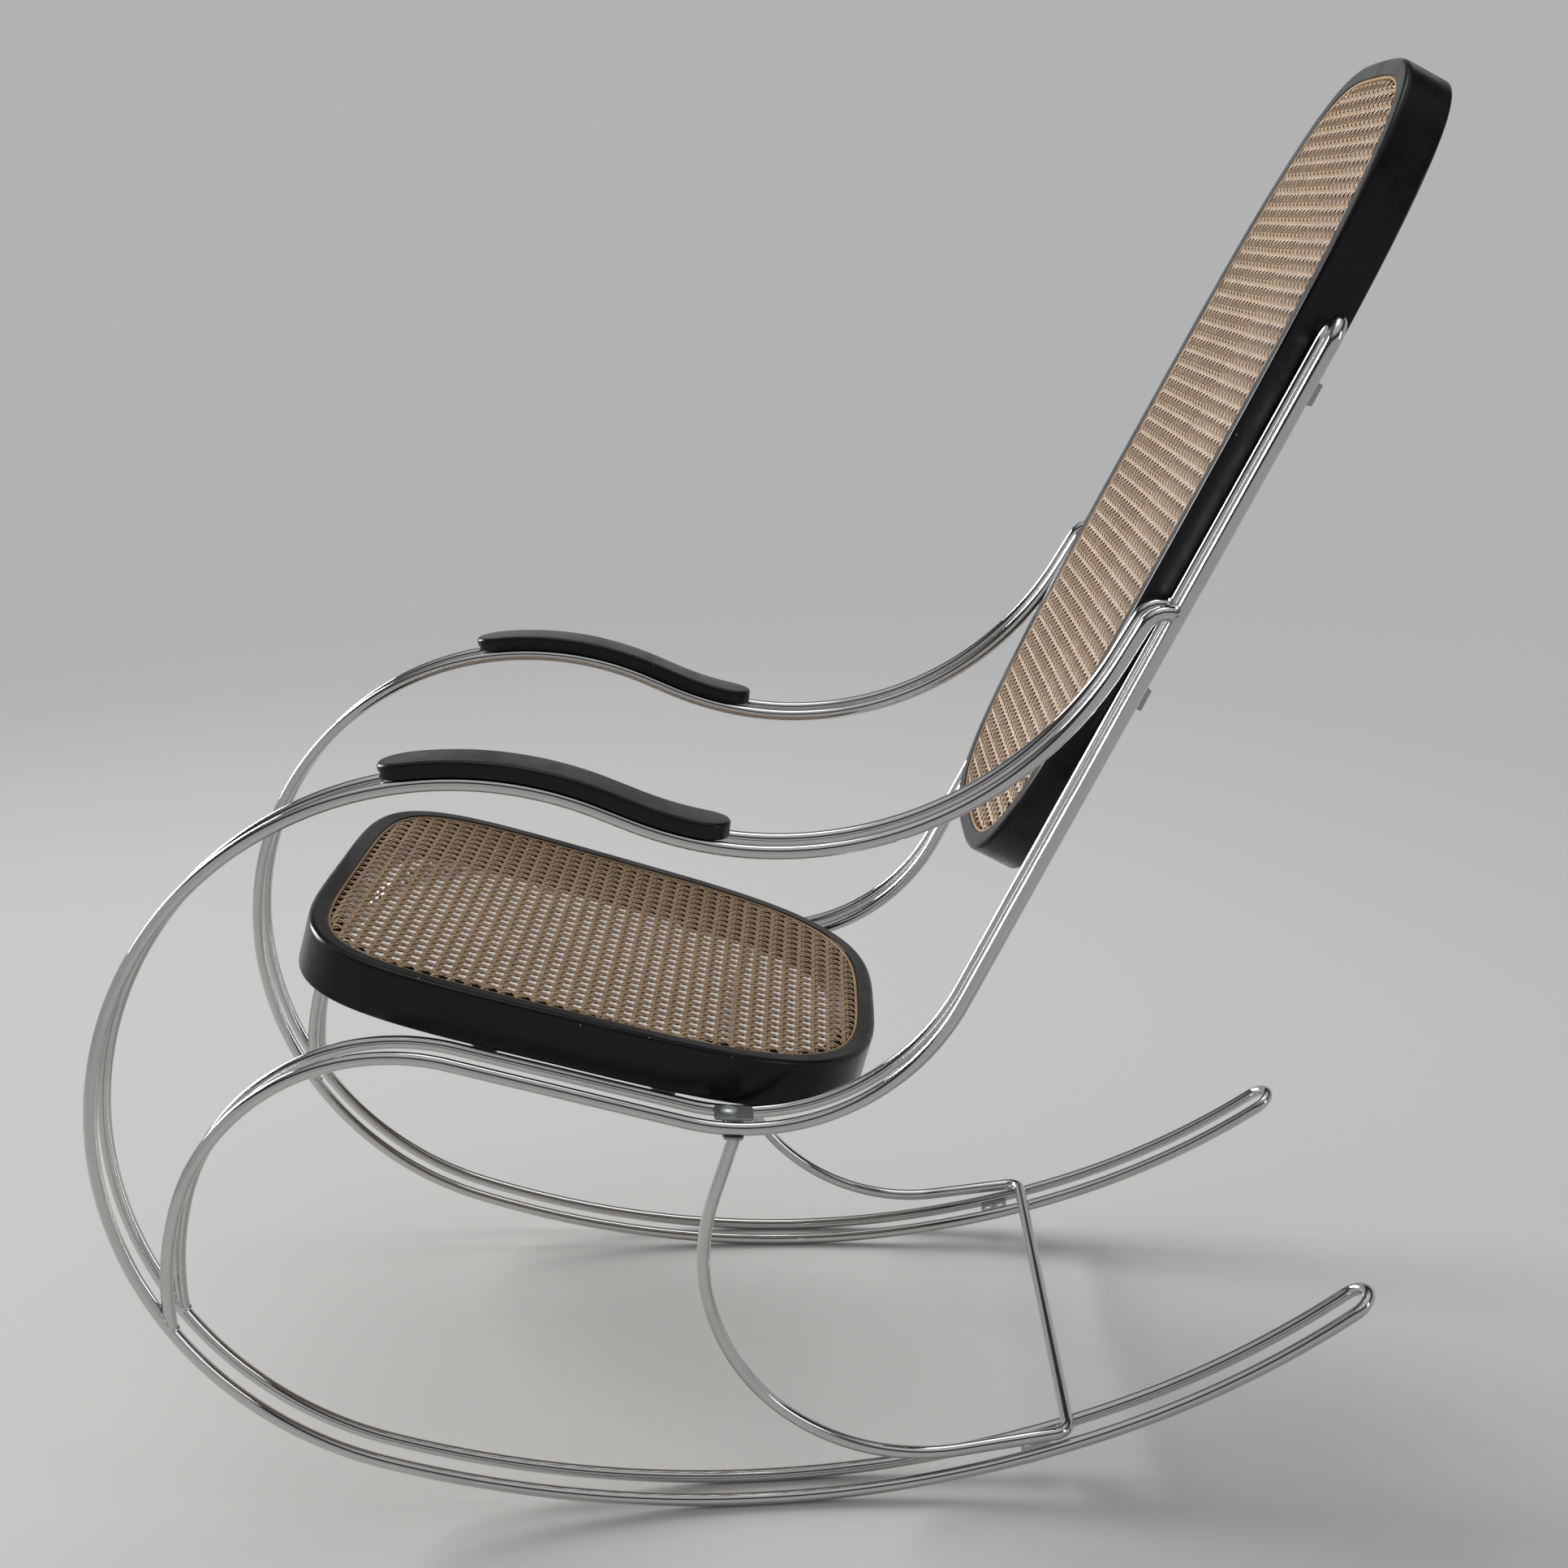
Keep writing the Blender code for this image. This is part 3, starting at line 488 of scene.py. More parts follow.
class Wiring:
    """Short hand for wiring one node tree."""

    def __init__(self, tree: bpy.types.NodeTree) -> None:
        """Keeps the tree that the nodes go into."""
        self.tree = tree

    def add(self, kind: str, sockets: Feeds | None = None, **settings: object) -> bpy.types.Node:
        """Adds a node.

        Args:
            kind: Node type.
            sockets: Values or output sockets for its inputs, by name or number.
            settings: Properties of the node.

        Returns:
            The node.
        """
        node = self.tree.nodes.new(kind)
        for name, value in settings.items():
            setattr(node, name, value)
        self.feed(node, sockets or {})
        return node

    def feed(self, node: bpy.types.Node, sockets: Feeds) -> None:
        """Sets or links a node's inputs.

        Args:
            node: The node.
            sockets: Values or output sockets, by the input's name or number.
        """
        for key, value in sockets.items():
            if isinstance(value, Socket):
                self.tree.links.new(value, node.inputs[key])
            else:
                node.inputs[key].default_value = value

    def math(self, operation: str, *values: object) -> Socket:
        """Output of a Math node on its values."""
        return self.add("ShaderNodeMath", dict(enumerate(values)), operation=operation).outputs[0]

    def times(self, value: object, factor: object) -> Socket:
        """Value times a factor."""
        return self.math("MULTIPLY", value, factor)

    def plus(self, value: object, mask: object, amount: float) -> Socket:
        """Value plus an amount of a mask."""
        return self.math("ADD", value, self.times(mask, amount))

    def blend(self, first: object, second: object, mask: object, share: float = 1.0) -> Socket:
        """Colour that goes from the first toward the second by a share of a mask."""
        sockets = {0: self.times(mask, share) if share < 1.0 else mask, 6: first, 7: second}
        return self.add("ShaderNodeMix", sockets, data_type="RGBA").outputs[2]

    def spread(self, value: object, *ranges: object) -> Socket:
        """Value from low to high carried smoothly onto start to stop, the four ranges."""
        sockets = dict(enumerate((value, *ranges)))
        return self.add("ShaderNodeMapRange", sockets, interpolation_type="SMOOTHSTEP").outputs[0]

    def noise(self, sockets: Feeds, **settings: object) -> Socket:
        """Value of a Noise node."""
        return self.add("ShaderNodeTexNoise", sockets, **settings).outputs[0]

    def mark(self, name: str, output: str = "Fac") -> Socket:
        """A point value of the mesh."""
        return self.add("ShaderNodeAttribute", attribute_name=name).outputs[output]

    def place(self) -> Socket:
        """Object coordinates."""
        return self.add("ShaderNodeTexCoord").outputs["Object"]

    def group(self, tree: bpy.types.NodeTree, **sockets: object) -> Socket:
        """First output of a node group."""
        return self.add("ShaderNodeGroup", sockets, node_tree=tree).outputs[0]

    def bump(self, height: object, depth: float, strength: float) -> Socket:
        """Normal from a height, with the depth of its full range in metres."""
        sockets = {"Height": height, "Distance": depth, "Strength": strength}
        return self.add("ShaderNodeBump", sockets).outputs[0]


class Effects:
    """Shader node groups that more than one finish uses, each with a Vector, values and one Mask."""

    patch_finer: float = 5.3
    patch_share: float = 0.5
    fibre_finer: float = 8.0
    fibre_shares: tuple[float, float] = (0.55, 0.45)
    fibre_range: tuple[float, float] = (0.3, 0.7)
    chip_edge: float = 0.16
    chip_fade: float = 0.02

    def __init__(self) -> None:
        """Builds the groups once."""
        self.blotches = self.group("blotches", ("Scale", "Low", "High"), self.blotch)
        self.fibres = self.group("fibres", ("Depth", "Scale"), self.fibre)
        self.chips = self.group("chips", ("Edge", "Scale", "Level"), self.chip)

    @staticmethod
    def group(
        name: str, values: Sequence[str], rule: Callable[[Wiring, Sockets], Socket]
    ) -> bpy.types.NodeTree:
        """New group.

        Args:
            name: Name of the group.
            values: Names of its value inputs.
            rule: Wires the mask from the inputs.

        Returns:
            The group's tree.
        """
        tree = bpy.data.node_groups.new(name, "ShaderNodeTree")
        tree.interface.new_socket("Vector", in_out="INPUT", socket_type="NodeSocketVector")
        for label in values:
            tree.interface.new_socket(label, in_out="INPUT", socket_type="NodeSocketFloat")
        tree.interface.new_socket("Mask", in_out="OUTPUT", socket_type="NodeSocketFloat")
        wiring = Wiring(tree)
        start, stop = wiring.add("NodeGroupInput"), wiring.add("NodeGroupOutput")
        given = {label: start.outputs[label] for label in ("Vector", *values)}
        wiring.feed(stop, {"Mask": rule(wiring, given)})
        return tree

    def blotch(self, wiring: Wiring, given: Sockets) -> Socket:
        """Soft patches: a coarse noise plus a share of a finer one, spread from Low to High.

        Args:
            wiring: The group's wiring.
            given: The group's inputs.

        Returns:
            The mask.
        """
        coarse = {"Vector": given["Vector"], "Scale": given["Scale"], "Detail": 4.0}
        broad = wiring.noise(coarse)
        fine = wiring.noise({**coarse, "Scale": wiring.times(given["Scale"], self.patch_finer)})
        both = wiring.math("MULTIPLY_ADD", fine, self.patch_share, broad)
        return wiring.spread(both, given["Low"], given["High"], 0.0, 1.0)

    def fibre(self, wiring: Wiring, given: Sockets) -> Socket:
        """Fibres: a coarse and a finer noise on coordinates that are already stretched along the grain.

        Args:
            wiring: The group's wiring.
            given: The group's inputs.

        Returns:
            The mask.
        """
        coarse = {"Vector": given["Vector"], "W": given["Depth"], "Scale": given["Scale"], "Detail": 2.0}
        broad = wiring.noise(coarse, noise_dimensions="4D")
        finer = {**coarse, "Scale": wiring.times(given["Scale"], self.fibre_finer)}
        fine = wiring.noise(finer, noise_dimensions="4D")
        both = wiring.plus(wiring.times(broad, self.fibre_shares[0]), fine, self.fibre_shares[1])
        return wiring.spread(both, *self.fibre_range, 0.0, 1.0)

    def chip(self, wiring: Wiring, given: Sockets) -> Socket:
        """Chips: rare peaks of a sharp noise over Level, more of them where the Edge value is high.

        Args:
            wiring: The group's wiring.
            given: The group's inputs.

        Returns:
            The mask.
        """
        sharp = {"Vector": given["Vector"], "Scale": given["Scale"], "Detail": 6.0, "Roughness": 0.6}
        raised = wiring.plus(wiring.noise(sharp), given["Edge"], self.chip_edge)
        over = wiring.math("SUBTRACT", raised, given["Level"])
        return wiring.spread(over, 0.0, self.chip_fade, 0.0, 1.0)


def material(name: str, plain: dict[str, object]) -> tuple[bpy.types.Material, Wiring, bpy.types.Node]:
    """New material with plain values on its shader.

    Args:
        name: Name of the material.
        plain: Value of each shader socket that is the same all over the surface.

    Returns:
        The material, its wiring and its Principled node.
    """
    made = bpy.data.materials.new(name)
    made.use_nodes = True
    wiring = Wiring(made.node_tree)
    shader = made.node_tree.nodes["Principled BSDF"]
    wiring.feed(shader, plain)
    return made, wiring, shader


@dataclass(frozen=True)
class Finish:
    """One finish: its slot in the record, its colour and its shader values; roughness is (least, most)."""

    slot: str
    colour: tuple[float, float, float]
    roughness: tuple[float, float]
    metallic: float = 0.0
    specular: float = 0.5
    coat: float = 0.0
    coat_roughness: float = 0.03

    def shade(self, share: float = 1.0) -> Colour:
        """The colour times a share."""
        return (*(share * value for value in self.colour), 1.0)

    def rough(self, wiring: Wiring, mask: Socket) -> Socket:
        """Roughness from its least to its most over a mask."""
        return wiring.spread(mask, 0.0, 1.0, *self.roughness)

    def look(self, wiring: Wiring, effects: Effects) -> Sockets:
        """What varies over the surface, by shader socket."""
        raise NotImplementedError

    def build(self, effects: Effects) -> bpy.types.Material:
        """Material with this finish.

        Args:
            effects: Shared node groups.

        Returns:
            The material.
        """
        plain = {"Base Color": self.shade(), "Metallic": self.metallic}
        plain |= {"Specular IOR Level": self.specular}
        plain |= {"Coat Weight": self.coat, "Coat Roughness": self.coat_roughness}
        made, wiring, shader = material(self.slot, plain)
        made.diffuse_color = self.shade()
        wiring.feed(shader, self.look(wiring, effects))
        return made


@dataclass(frozen=True)
class Chrome(Finish):
    """Bright plating, with faint haze and a few dull specks."""

    roughness: tuple[float, float] = (0.07, 0.15)
    metallic: float = 1.0
    speck: Colour = (0.13, 0.10, 0.07, 1.0)

    def look(self, wiring: Wiring, effects: Effects) -> Sockets:
        """Haze in broad patches and fine specks, both duller and darker than the plating.

        Args:
            wiring: The material's wiring.
            effects: Shared node groups.

        Returns:
            What feeds each of the shader's sockets.
        """
        place = wiring.place()
        haze = wiring.group(effects.blotches, Vector=place, Scale=9.0, Low=0.72, High=1.0)
        specks = wiring.group(effects.chips, Vector=place, Edge=0.0, Scale=420.0, Level=0.745)
        colour = wiring.blend(self.shade(), self.shade(0.78), haze, share=0.35)
        colour = wiring.blend(colour, self.speck, specks, share=0.7)
        rough = wiring.plus(self.rough(wiring, haze), specks, amount=0.35)
        return {"Base Color": colour, "Roughness": rough}


@dataclass(frozen=True)
class Zinc(Finish):
    """Dull plating of the small steel fittings, with stains and worn spots, and brighter on the screws."""

    roughness: tuple[float, float] = (0.42, 0.52)
    metallic: float = 0.65
    stain: Colour = (0.24, 0.22, 0.19, 1.0)
    bright: Colour = (0.70, 0.75, 0.77, 1.0)

    def look(self, wiring: Wiring, effects: Effects) -> Sockets:
        """Stains in patches, worn bright spots, and the polish mark of the screws.

        Args:
            wiring: The material's wiring.
            effects: Shared node groups.

        Returns:
            What feeds each of the shader's sockets.
        """
        place = wiring.place()
        stains = wiring.group(effects.blotches, Vector=place, Scale=60.0, Low=0.66, High=0.95)
        worn = wiring.group(effects.chips, Vector=place, Edge=0.3, Scale=300.0, Level=0.66)
        polish = wiring.mark("polish")
        colour = wiring.blend(self.shade(), self.stain, stains, share=0.55)
        colour = wiring.blend(wiring.blend(colour, self.shade(1.25), worn), self.bright, polish)
        rough = wiring.plus(self.rough(wiring, stains), polish, amount=-0.14)
        normal = wiring.bump(stains, depth=0.0001, strength=0.4)
        return {"Base Color": colour, "Roughness": rough, "Normal": normal}


@dataclass(frozen=True)
class Lacquer(Finish):
    """Black lacquer on bent beech: open grain, rubbed sheen and nicks that show pale wood on the edges."""

    roughness: tuple[float, float] = (0.20, 0.34)
    specular: float = 0.25
    nick: Colour = (0.50, 0.44, 0.35, 1.0)

    def look(self, wiring: Wiring, effects: Effects) -> Sockets:
        """Grain along the bent wood, rubbed patches, and nicks where the arris mark is high.

        Args:
            wiring: The material's wiring.
            effects: Shared node groups.

        Returns:
            What feeds each of the shader's sockets.
        """
        place, flow = wiring.place(), wiring.mark("flow", "Vector")
        grain = wiring.group(effects.fibres, Vector=flow, Depth=wiring.mark("depth"), Scale=190.0)
        rub = wiring.group(effects.blotches, Vector=place, Scale=14.0, Low=0.55, High=1.0)
        edge = wiring.mark("arris")
        nicks = wiring.group(effects.chips, Vector=place, Edge=edge, Scale=95.0, Level=0.855)
        colour = wiring.blend(self.shade(), self.shade(1.8), rub, share=0.5)
        colour = wiring.blend(colour, self.shade(2.2), grain, share=0.25)
        colour = wiring.blend(colour, self.nick, nicks)
        height = wiring.math("SUBTRACT", wiring.times(grain, factor=0.4), nicks)
        rough = wiring.plus(self.rough(wiring, rub), nicks, amount=0.3)
        normal = wiring.bump(height, depth=0.0002, strength=0.25)
        return {"Base Color": colour, "Roughness": rough, "Normal": normal}


@dataclass(frozen=True)
class Strand(Finish):
    """Split cane or reed: a glossy skin over long fibres, each strand with a tone of its own."""

    roughness: tuple[float, float] = (0.36, 0.52)
    coat_roughness: float = 0.22
    # The darker colour below serves age and fibre, and is also the painted shade on the strands' flanks.
    dark_and_shade: Colour = (0.21, 0.112, 0.050, 1.0)
    pale: Colour = (0.60, 0.44, 0.27, 1.0)
    fibre_scale: float = 260.0

    def look(self, wiring: Wiring, effects: Effects) -> Sockets:
        """From the base colour toward pale by the tone mark, then darker by age and by fibre, with painted
        shade darkening the flanks.

        Args:
            wiring: The material's wiring.
            effects: Shared node groups.

        Returns:
            What feeds each of the shader's sockets.
        """
        place, tone, flow = wiring.place(), wiring.mark("tone"), wiring.mark("flow", "Vector")
        fibre = wiring.group(effects.fibres, Vector=flow, Depth=tone, Scale=self.fibre_scale)
        age = wiring.group(effects.blotches, Vector=place, Scale=7.0, Low=0.5, High=1.0)
        # Painted shade: the strands' side edges are darkened toward the darker colour, standing in for shade
        # between strands.
        flank_shade = wiring.spread(wiring.mark("flank_shade"), 0.5, 1.0, 0.0, 0.9)
        colour = wiring.blend(self.shade(), self.pale, wiring.spread(tone, 0.0, 1.0, 0.0, 0.85))
        colour = wiring.blend(colour, self.dark_and_shade, age, share=0.32)
        colour = wiring.blend(colour, self.dark_and_shade, fibre, share=0.34)
        colour = wiring.blend(colour, self.dark_and_shade, flank_shade)
        normal = wiring.bump(fibre, depth=0.00012, strength=0.5)
        return {"Base Color": colour, "Roughness": self.rough(wiring, fibre), "Normal": normal}


class Workshop:
    """Holds the finishes and puts each finished piece on the chair."""

    def __init__(self) -> None:
        """Builds the finishes."""
        effects = Effects()
        finishes = [
            Chrome("chrome", (0.58, 0.578, 0.57)),
            Zinc("zinc", (0.36, 0.37, 0.37)),
            Lacquer("black_lacquer", (0.0045, 0.0045, 0.0045)),
            Strand("cane", (0.46, 0.305, 0.170), coat=0.45),
            Strand("spline_reed", (0.36, 0.235, 0.130), roughness=(0.45, 0.61), fibre_scale=170.0),
        ]
        self.materials = {finish.slot: finish.build(effects) for finish in finishes}
        self.random = np.random.default_rng(SEED)

    def fit(self, name: str, mesh: bpy.types.Mesh, slot: str, *nodes: str) -> bpy.types.Object:
        """Adds one piece.

        Args:
            name: Name of the piece.
            mesh: Its mesh, in place.
            slot: Slot of its finish.
            nodes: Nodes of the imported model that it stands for.

        Returns:
            The object.
        """
        mesh.materials.append(self.materials[slot])
        piece = bpy.data.objects.new(name, mesh)
        bpy.context.scene.collection.objects.link(piece)
        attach(piece, BODY)
        if nodes:
            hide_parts(*nodes)
        LOG.info("%s: %d faces", name, len(mesh.polygons))
        return piece


@dataclass
class TubeWork:
    """The bent tubes: a rocker hairpin and a seat hairpin on each side, and the rear stretcher."""

    lines: ChairLines
    step: float = 0.006
    fine_step: float = 0.001
    sides: int = 20
    sharp: float = 50.0
    bend_steps: int = 28
    stretcher_inside: float = 0.0015
    corner_steps: int = 14
    clamp_share: float = 0.15
    bead_radius: float = 0.0012
    bead_lift: float = 0.25
    bead_sides: int = 8
    bead_ripples: int = 13
    bead_ripple: float = 0.06
    bead_steps: int = 104

    def __post_init__(self) -> None:
        """Draws the side lines."""
        self.rocker = self.lines.rocker_line()
        self.seat = self.lines.seat_line(self.rocker)
        self.stretcher = self.lines.stretcher_line()

    def seat_middle(self) -> tuple[np.ndarray, float]:
        """Middle of the straight under the seat, and its heading."""
        return self.seat.spot(self.seat.along(SeatPiece.STRAIGHT, 0.5))

    def clamp_spot(self) -> tuple[np.ndarray, float]:
        """Place of the clamps, on the dip of the seat tubes, and the heading there."""
        return self.seat.spot(self.seat.along(SeatPiece.DIP, self.clamp_share))

    def on_upright(self, distance: float) -> tuple[np.ndarray, float]:
        """Point at a distance up the upright, and its heading."""
        heading = self.seat.headings[SeatPiece.UPRIGHT]
        return self.seat.points[SeatPiece.UPRIGHT] + distance * ahead(heading), heading

    def bar(self, shop: Workshop, name: str, node: str, path: np.ndarray, headings: np.ndarray) -> None:
        """One round tube along a path.

        Args:
            shop: Where the piece goes.
            name: Name of the piece.
            node: Node that it stands for.
            path: Middle of the tube (N, 3).
            headings: Headings of its side line there.
        """
        normals = np.column_stack([np.zeros(len(headings)), inward(headings)])
        tube = swept(path, normals, circle(STANCE.tube_radius, self.sides))
        shop.fit(name, meshed(name, tube[None], sharp=self.sharp), "chrome", node)

    def hairpin(self, shop: Workshop, stem: str, line: SideLine, reverse: bool, side: float) -> None:
        """Tube down the outer strand, round a half circle at the line's end and back up the inner strand.

        Args:
            shop: Where the piece goes.
            stem: Start of the piece's and the node's name.
            line: Side line.
            reverse: Whether the bend is at the line's first point, and not at its last.
            side: Sign of X.
        """
        points, headings = line.at(line.even(self.step)[:: -1 if reverse else 1])
        travel = headings[-1] + (180.0 if reverse else 0.0)
        radius = STANCE.pair_half
        turn = np.linspace(0.0, math.pi, self.bend_steps + 1)[1:-1]
        tips = points[-1] + radius * np.sin(turn)[:, None] * ahead(travel)
        straight = np.full(len(points), radius)
        offsets = np.concatenate([straight, radius * np.cos(turn), -straight])
        path = STANCE.strand(np.vstack([points, tips, points[::-1]]), side, offsets)
        turned = np.concatenate([headings, np.full(len(turn), headings[-1]), headings[::-1]])
        self.bar(shop, f"{stem}_bend", f"{stem}_tube", path, turned)

    def side_frame(self, shop: Workshop, hand: Hand) -> None:
        """Both hairpins of one side and the weld beads where they meet.

        Args:
            shop: Where the pieces go.
            hand: Side of the chair.
        """
        self.hairpin(shop, f"{hand.word}_rocker_arm", self.rocker, True, hand.value)
        self.hairpin(shop, f"{hand.word}_seat_back", self.seat, False, hand.value)
        points, headings = self.rocker.at(self.rocker.even(self.fine_step))
        nearest = np.argmin(np.linalg.norm(points - self.seat.points[0], axis=1))
        arm = (self.rocker.points[-1], self.rocker.headings[-1] + 180.0, self.seat.headings[-1])
        foot = (self.seat.points[0], self.seat.headings[0], headings[nearest])
        self.welds(shop, f"{hand.word}_arm_welds", hand, *arm)
        self.welds(shop, f"{hand.word}_foot_welds", hand, *foot)

    def welds(
        self, shop: Workshop, name: str, hand: Hand, point: np.ndarray, branch: float, main: float
    ) -> None:
        """Beads round the ends of a tube pair, on the curve where each tube enters another of the same size.

        A point of the curve is branch radius * (cos a * e + sin a * f) + s * d, where d is the branch,
        e squares d and the main tube, f squares d and e, and s solves the distance from the main tube's
        middle for its radius plus a share of the bead's.

        Args:
            shop: Where the piece goes.
            name: Name of the piece.
            hand: Side of the chair.
            point: Where the middles meet, (Y, Z).
            branch: Heading of the branch away from the joint.
            main: Heading of the main tube.
        """
        d, m = np.array([0.0, *ahead(branch)]), np.array([0.0, *ahead(main)])
        e = unit(np.cross(d, m))
        f = np.cross(d, e)
        turn = np.linspace(0.0, math.tau, self.bead_steps, endpoint=False)
        radial = np.cos(turn)[:, None] * e + np.sin(turn)[:, None] * f
        rim = STANCE.tube_radius * radial
        rim_flat, d_flat = rim - np.outer(rim @ m, m), d - (d @ m) * m
        linear, square = rim_flat @ d_flat, d_flat @ d_flat
        grown = STANCE.tube_radius + self.bead_lift * self.bead_radius
        under = linear**2 - square * ((rim_flat**2).sum(axis=1) - grown**2)
        curve = rim + ((np.sqrt(np.maximum(under, 0.0)) - linear) / square)[:, None] * d
        ripple = 1.0 + self.bead_ripple * np.sin(self.bead_ripples * turn)
        section = circle(self.bead_radius, self.bead_sides)[None] * ripple[:, None, None]
        centres = [STANCE.strand(point[None], hand.value, sign * STANCE.pair_half) for sign in (-1, 1)]
        beads = np.stack([swept(centre + curve, radial, section, ring=True) for centre in centres])
        shop.fit(name, meshed(name, beads, ring=True), "chrome")

    def rear_stretcher(self, shop: Workshop) -> None:
        """Stretcher of one tube: up each side from the crossbar on the rockers, cut off under the clamps.

        Args:
            shop: Where the piece goes.
        """
        points, headings = self.stretcher.at(self.stretcher.even(self.step)[::-1])
        side = STANCE.strand(points, 1.0, STANCE.pair_half - self.stretcher_inside)
        place = STANCE.placed(0.0, 0.0, *self.clamp_spot())
        height = (side - place[:3, 3]) @ place[:3, 2]
        below = -(STANCE.tube_radius + Fittings.thickness + 2 * GAP)
        keep = height < below
        share = (below - height[keep][0]) / (height[~keep][-1] - height[keep][0])
        top = side[keep][0] + share * (side[~keep][-1] - side[keep][0])
        side = np.vstack([top, side[keep]])
        radius = self.lines.stretcher_corner
        turn = np.linspace(0.0, math.pi / 2, self.corner_steps + 1)[1:]
        across = side[-1, 0] - radius * (1 - np.cos(turn))
        toward = -radius * ahead(self.lines.stretcher_heading)
        bend = np.column_stack([across, side[-1, 1:] + np.sin(turn)[:, None] * toward])
        half = np.vstack([side, bend])
        turned = np.concatenate([headings[keep][:1], headings[keep], np.full(len(turn), headings[-1])])
        path = np.vstack([half, half[::-1] * (-1, 1, 1)])
        self.bar(shop, "rear_stretcher_bend", "rear_stretcher_tube", path, np.append(turned, turned[::-1]))


@dataclass
class Fittings:
    """Plates, angles and pan-head screws; a bite is how far a screw goes on past its plate."""

    tubes: TubeWork
    thickness: float = 0.002
    corner: float = 0.003
    edge: float = 0.0004
    edge_segments: int = 2
    turn_steps: int = 48
    sheet_steps: int = 4
    weld_distance: float = 1e-6
    inside_width: float = 0.0204
    clamp_size: tuple[float, float] = (0.024, 0.029)
    clamp_base: tuple[float, float] = (0.040, 0.016)
    clamp_screw_ahead: float = 0.004
    clamp_bearing: float = 0.0015
    clamp_head: float = 1.45
    clamp_bite: float = 0.003
    rocker_plate_y: float = 0.182
    rocker_plate_length: float = 0.024
    rocker_holes: int = 2
    rocker_hole: float = 0.0034
    tab_thickness: float = 0.003
    tab_size: tuple[float, float] = (0.024, 0.020)
    tab_screw: float = 0.013
    tab_bite: float = 0.016
    tab_stations: Stations = (("front", -0.068), ("rear", 0.068))
    angle_width: float = 0.016
    angle_screw: float = 0.014
    angle_reach: float = 0.023
    angle_bend: float = 0.0012
    angle_bend_steps: int = 4
    angle_margin: float = 0.00005
    angle_sharp: float = 35.0
    angle_bite: float = 0.018
    angle_stations: Stations = (("lower", 0.250), ("upper", 0.490))
    head_radius: float = 0.0045
    head_height: float = 0.0026
    head_core: float = 0.02
    head_top: float = 0.93
    head_fall: float = 0.45
    head_power: float = 2.4
    head_edge: float = 0.0004
    head_steps: int = 16
    head_sharp: float = 40.0
    recess_depth: float = 0.0013
    recess_half: tuple[float, float] = (0.00035, 0.0006)
    recess_reach: tuple[float, float] = (0.0019, 0.0026)
    shank_radius: float = 0.002
    shank_plain: tuple[float, float] = (0.0005, 0.003)
    shank_point: float = 0.00005
    thread_depth: float = 0.0002
    thread_pitch: float = 0.0008
    thread_steps: int = 60

    def plate(
        self,
        shop: Workshop,
        name: str,
        node: str,
        place: np.ndarray,
        size: Sequence[float],
        holes: Sequence[float] = (0.0,),
        hole: float | None = None,
        thickness: float | None = None,
    ) -> None:
        """Flat plate with round holes along its local x.

        Each hole has a cell of its own. A cell is the ruled sheet from the hole's circle out to the cell's
        edge, and the plate's own corners are pulled onto their arcs. The sheet then gets its thickness and a
        worn edge.

        Args:
            shop: Where the piece goes.
            name: Name of the piece.
            node: Node that it stands for.
            place: Placement of the lower face.
            size: Length along x and y.
            holes: Place of each hole along x.
            hole: Radius of the holes, or None for one that clears a screw.
            thickness: Thickness of the plate, or None for the usual one.
        """
        half = np.array(size) / 2
        edges = np.array([-half[0], *(np.add(holes[:-1], holes[1:]) / 2), half[0]])[:, None]
        rays = circle(1.0, self.turn_steps)
        steep = np.maximum(np.abs(rays), TINY)
        along = np.array(holes)[:, None]
        room = np.where(rays[:, 0] > 0, edges[1:] - along, along - edges[:-1])
        reach = np.minimum(room / steep[:, 0], half[1] / steep[:, 1])
        centres = np.stack([along, 0 * along], axis=-1)
        rim = centres + reach[..., None] * rays
        pivot = np.sign(rim) * (half - self.corner)
        outside = np.all(np.sign(rim) * (rim - pivot) > 0, axis=-1)
        rim[outside] = (pivot + self.corner * unit(rim - pivot + TINY**2))[outside]
        inner = centres + (hole or self.shank_radius + GAP) * rays
        share = np.linspace(1.0, 0.0, self.sheet_steps + 1)[:, None, None]
        sheet = inner[:, None] + share * (rim - inner)[:, None]
        sheet = np.concatenate([sheet, np.zeros((*sheet.shape[:3], 1))], axis=-1)
        mesh = meshed(name, moved(place, sheet), caps=(False, False))
        self.weld(mesh, place[:3, 2])
        piece = shop.fit(name, mesh, "zinc", node)
        thick = piece.modifiers.new("thickness", "SOLIDIFY")
        thick.thickness = thickness or self.thickness
        thick.offset = 1.0
        soft = piece.modifiers.new("edge", "BEVEL")
        soft.width = self.edge
        soft.segments = self.edge_segments
        soft.limit_method = "ANGLE"

    def weld(self, mesh: bpy.types.Mesh, up: np.ndarray) -> None:
        """Joins the cells of a sheet and turns its faces to one side.

        Args:
            mesh: The sheet.
            up: Direction that its faces turn to.
        """
        work = bmesh.new()
        work.from_mesh(mesh)
        bmesh.ops.remove_doubles(work, verts=work.verts, dist=self.weld_distance)
        bmesh.ops.recalc_face_normals(work, faces=work.faces)
        work.normal_update()
        if sum(face.calc_area() * face.normal.dot(up) for face in work.faces) < 0:
            bmesh.ops.reverse_faces(work, faces=work.faces)
        work.to_mesh(mesh)
        work.free()
        mesh.polygons.foreach_set("use_smooth", np.zeros(len(mesh.polygons), dtype=bool))

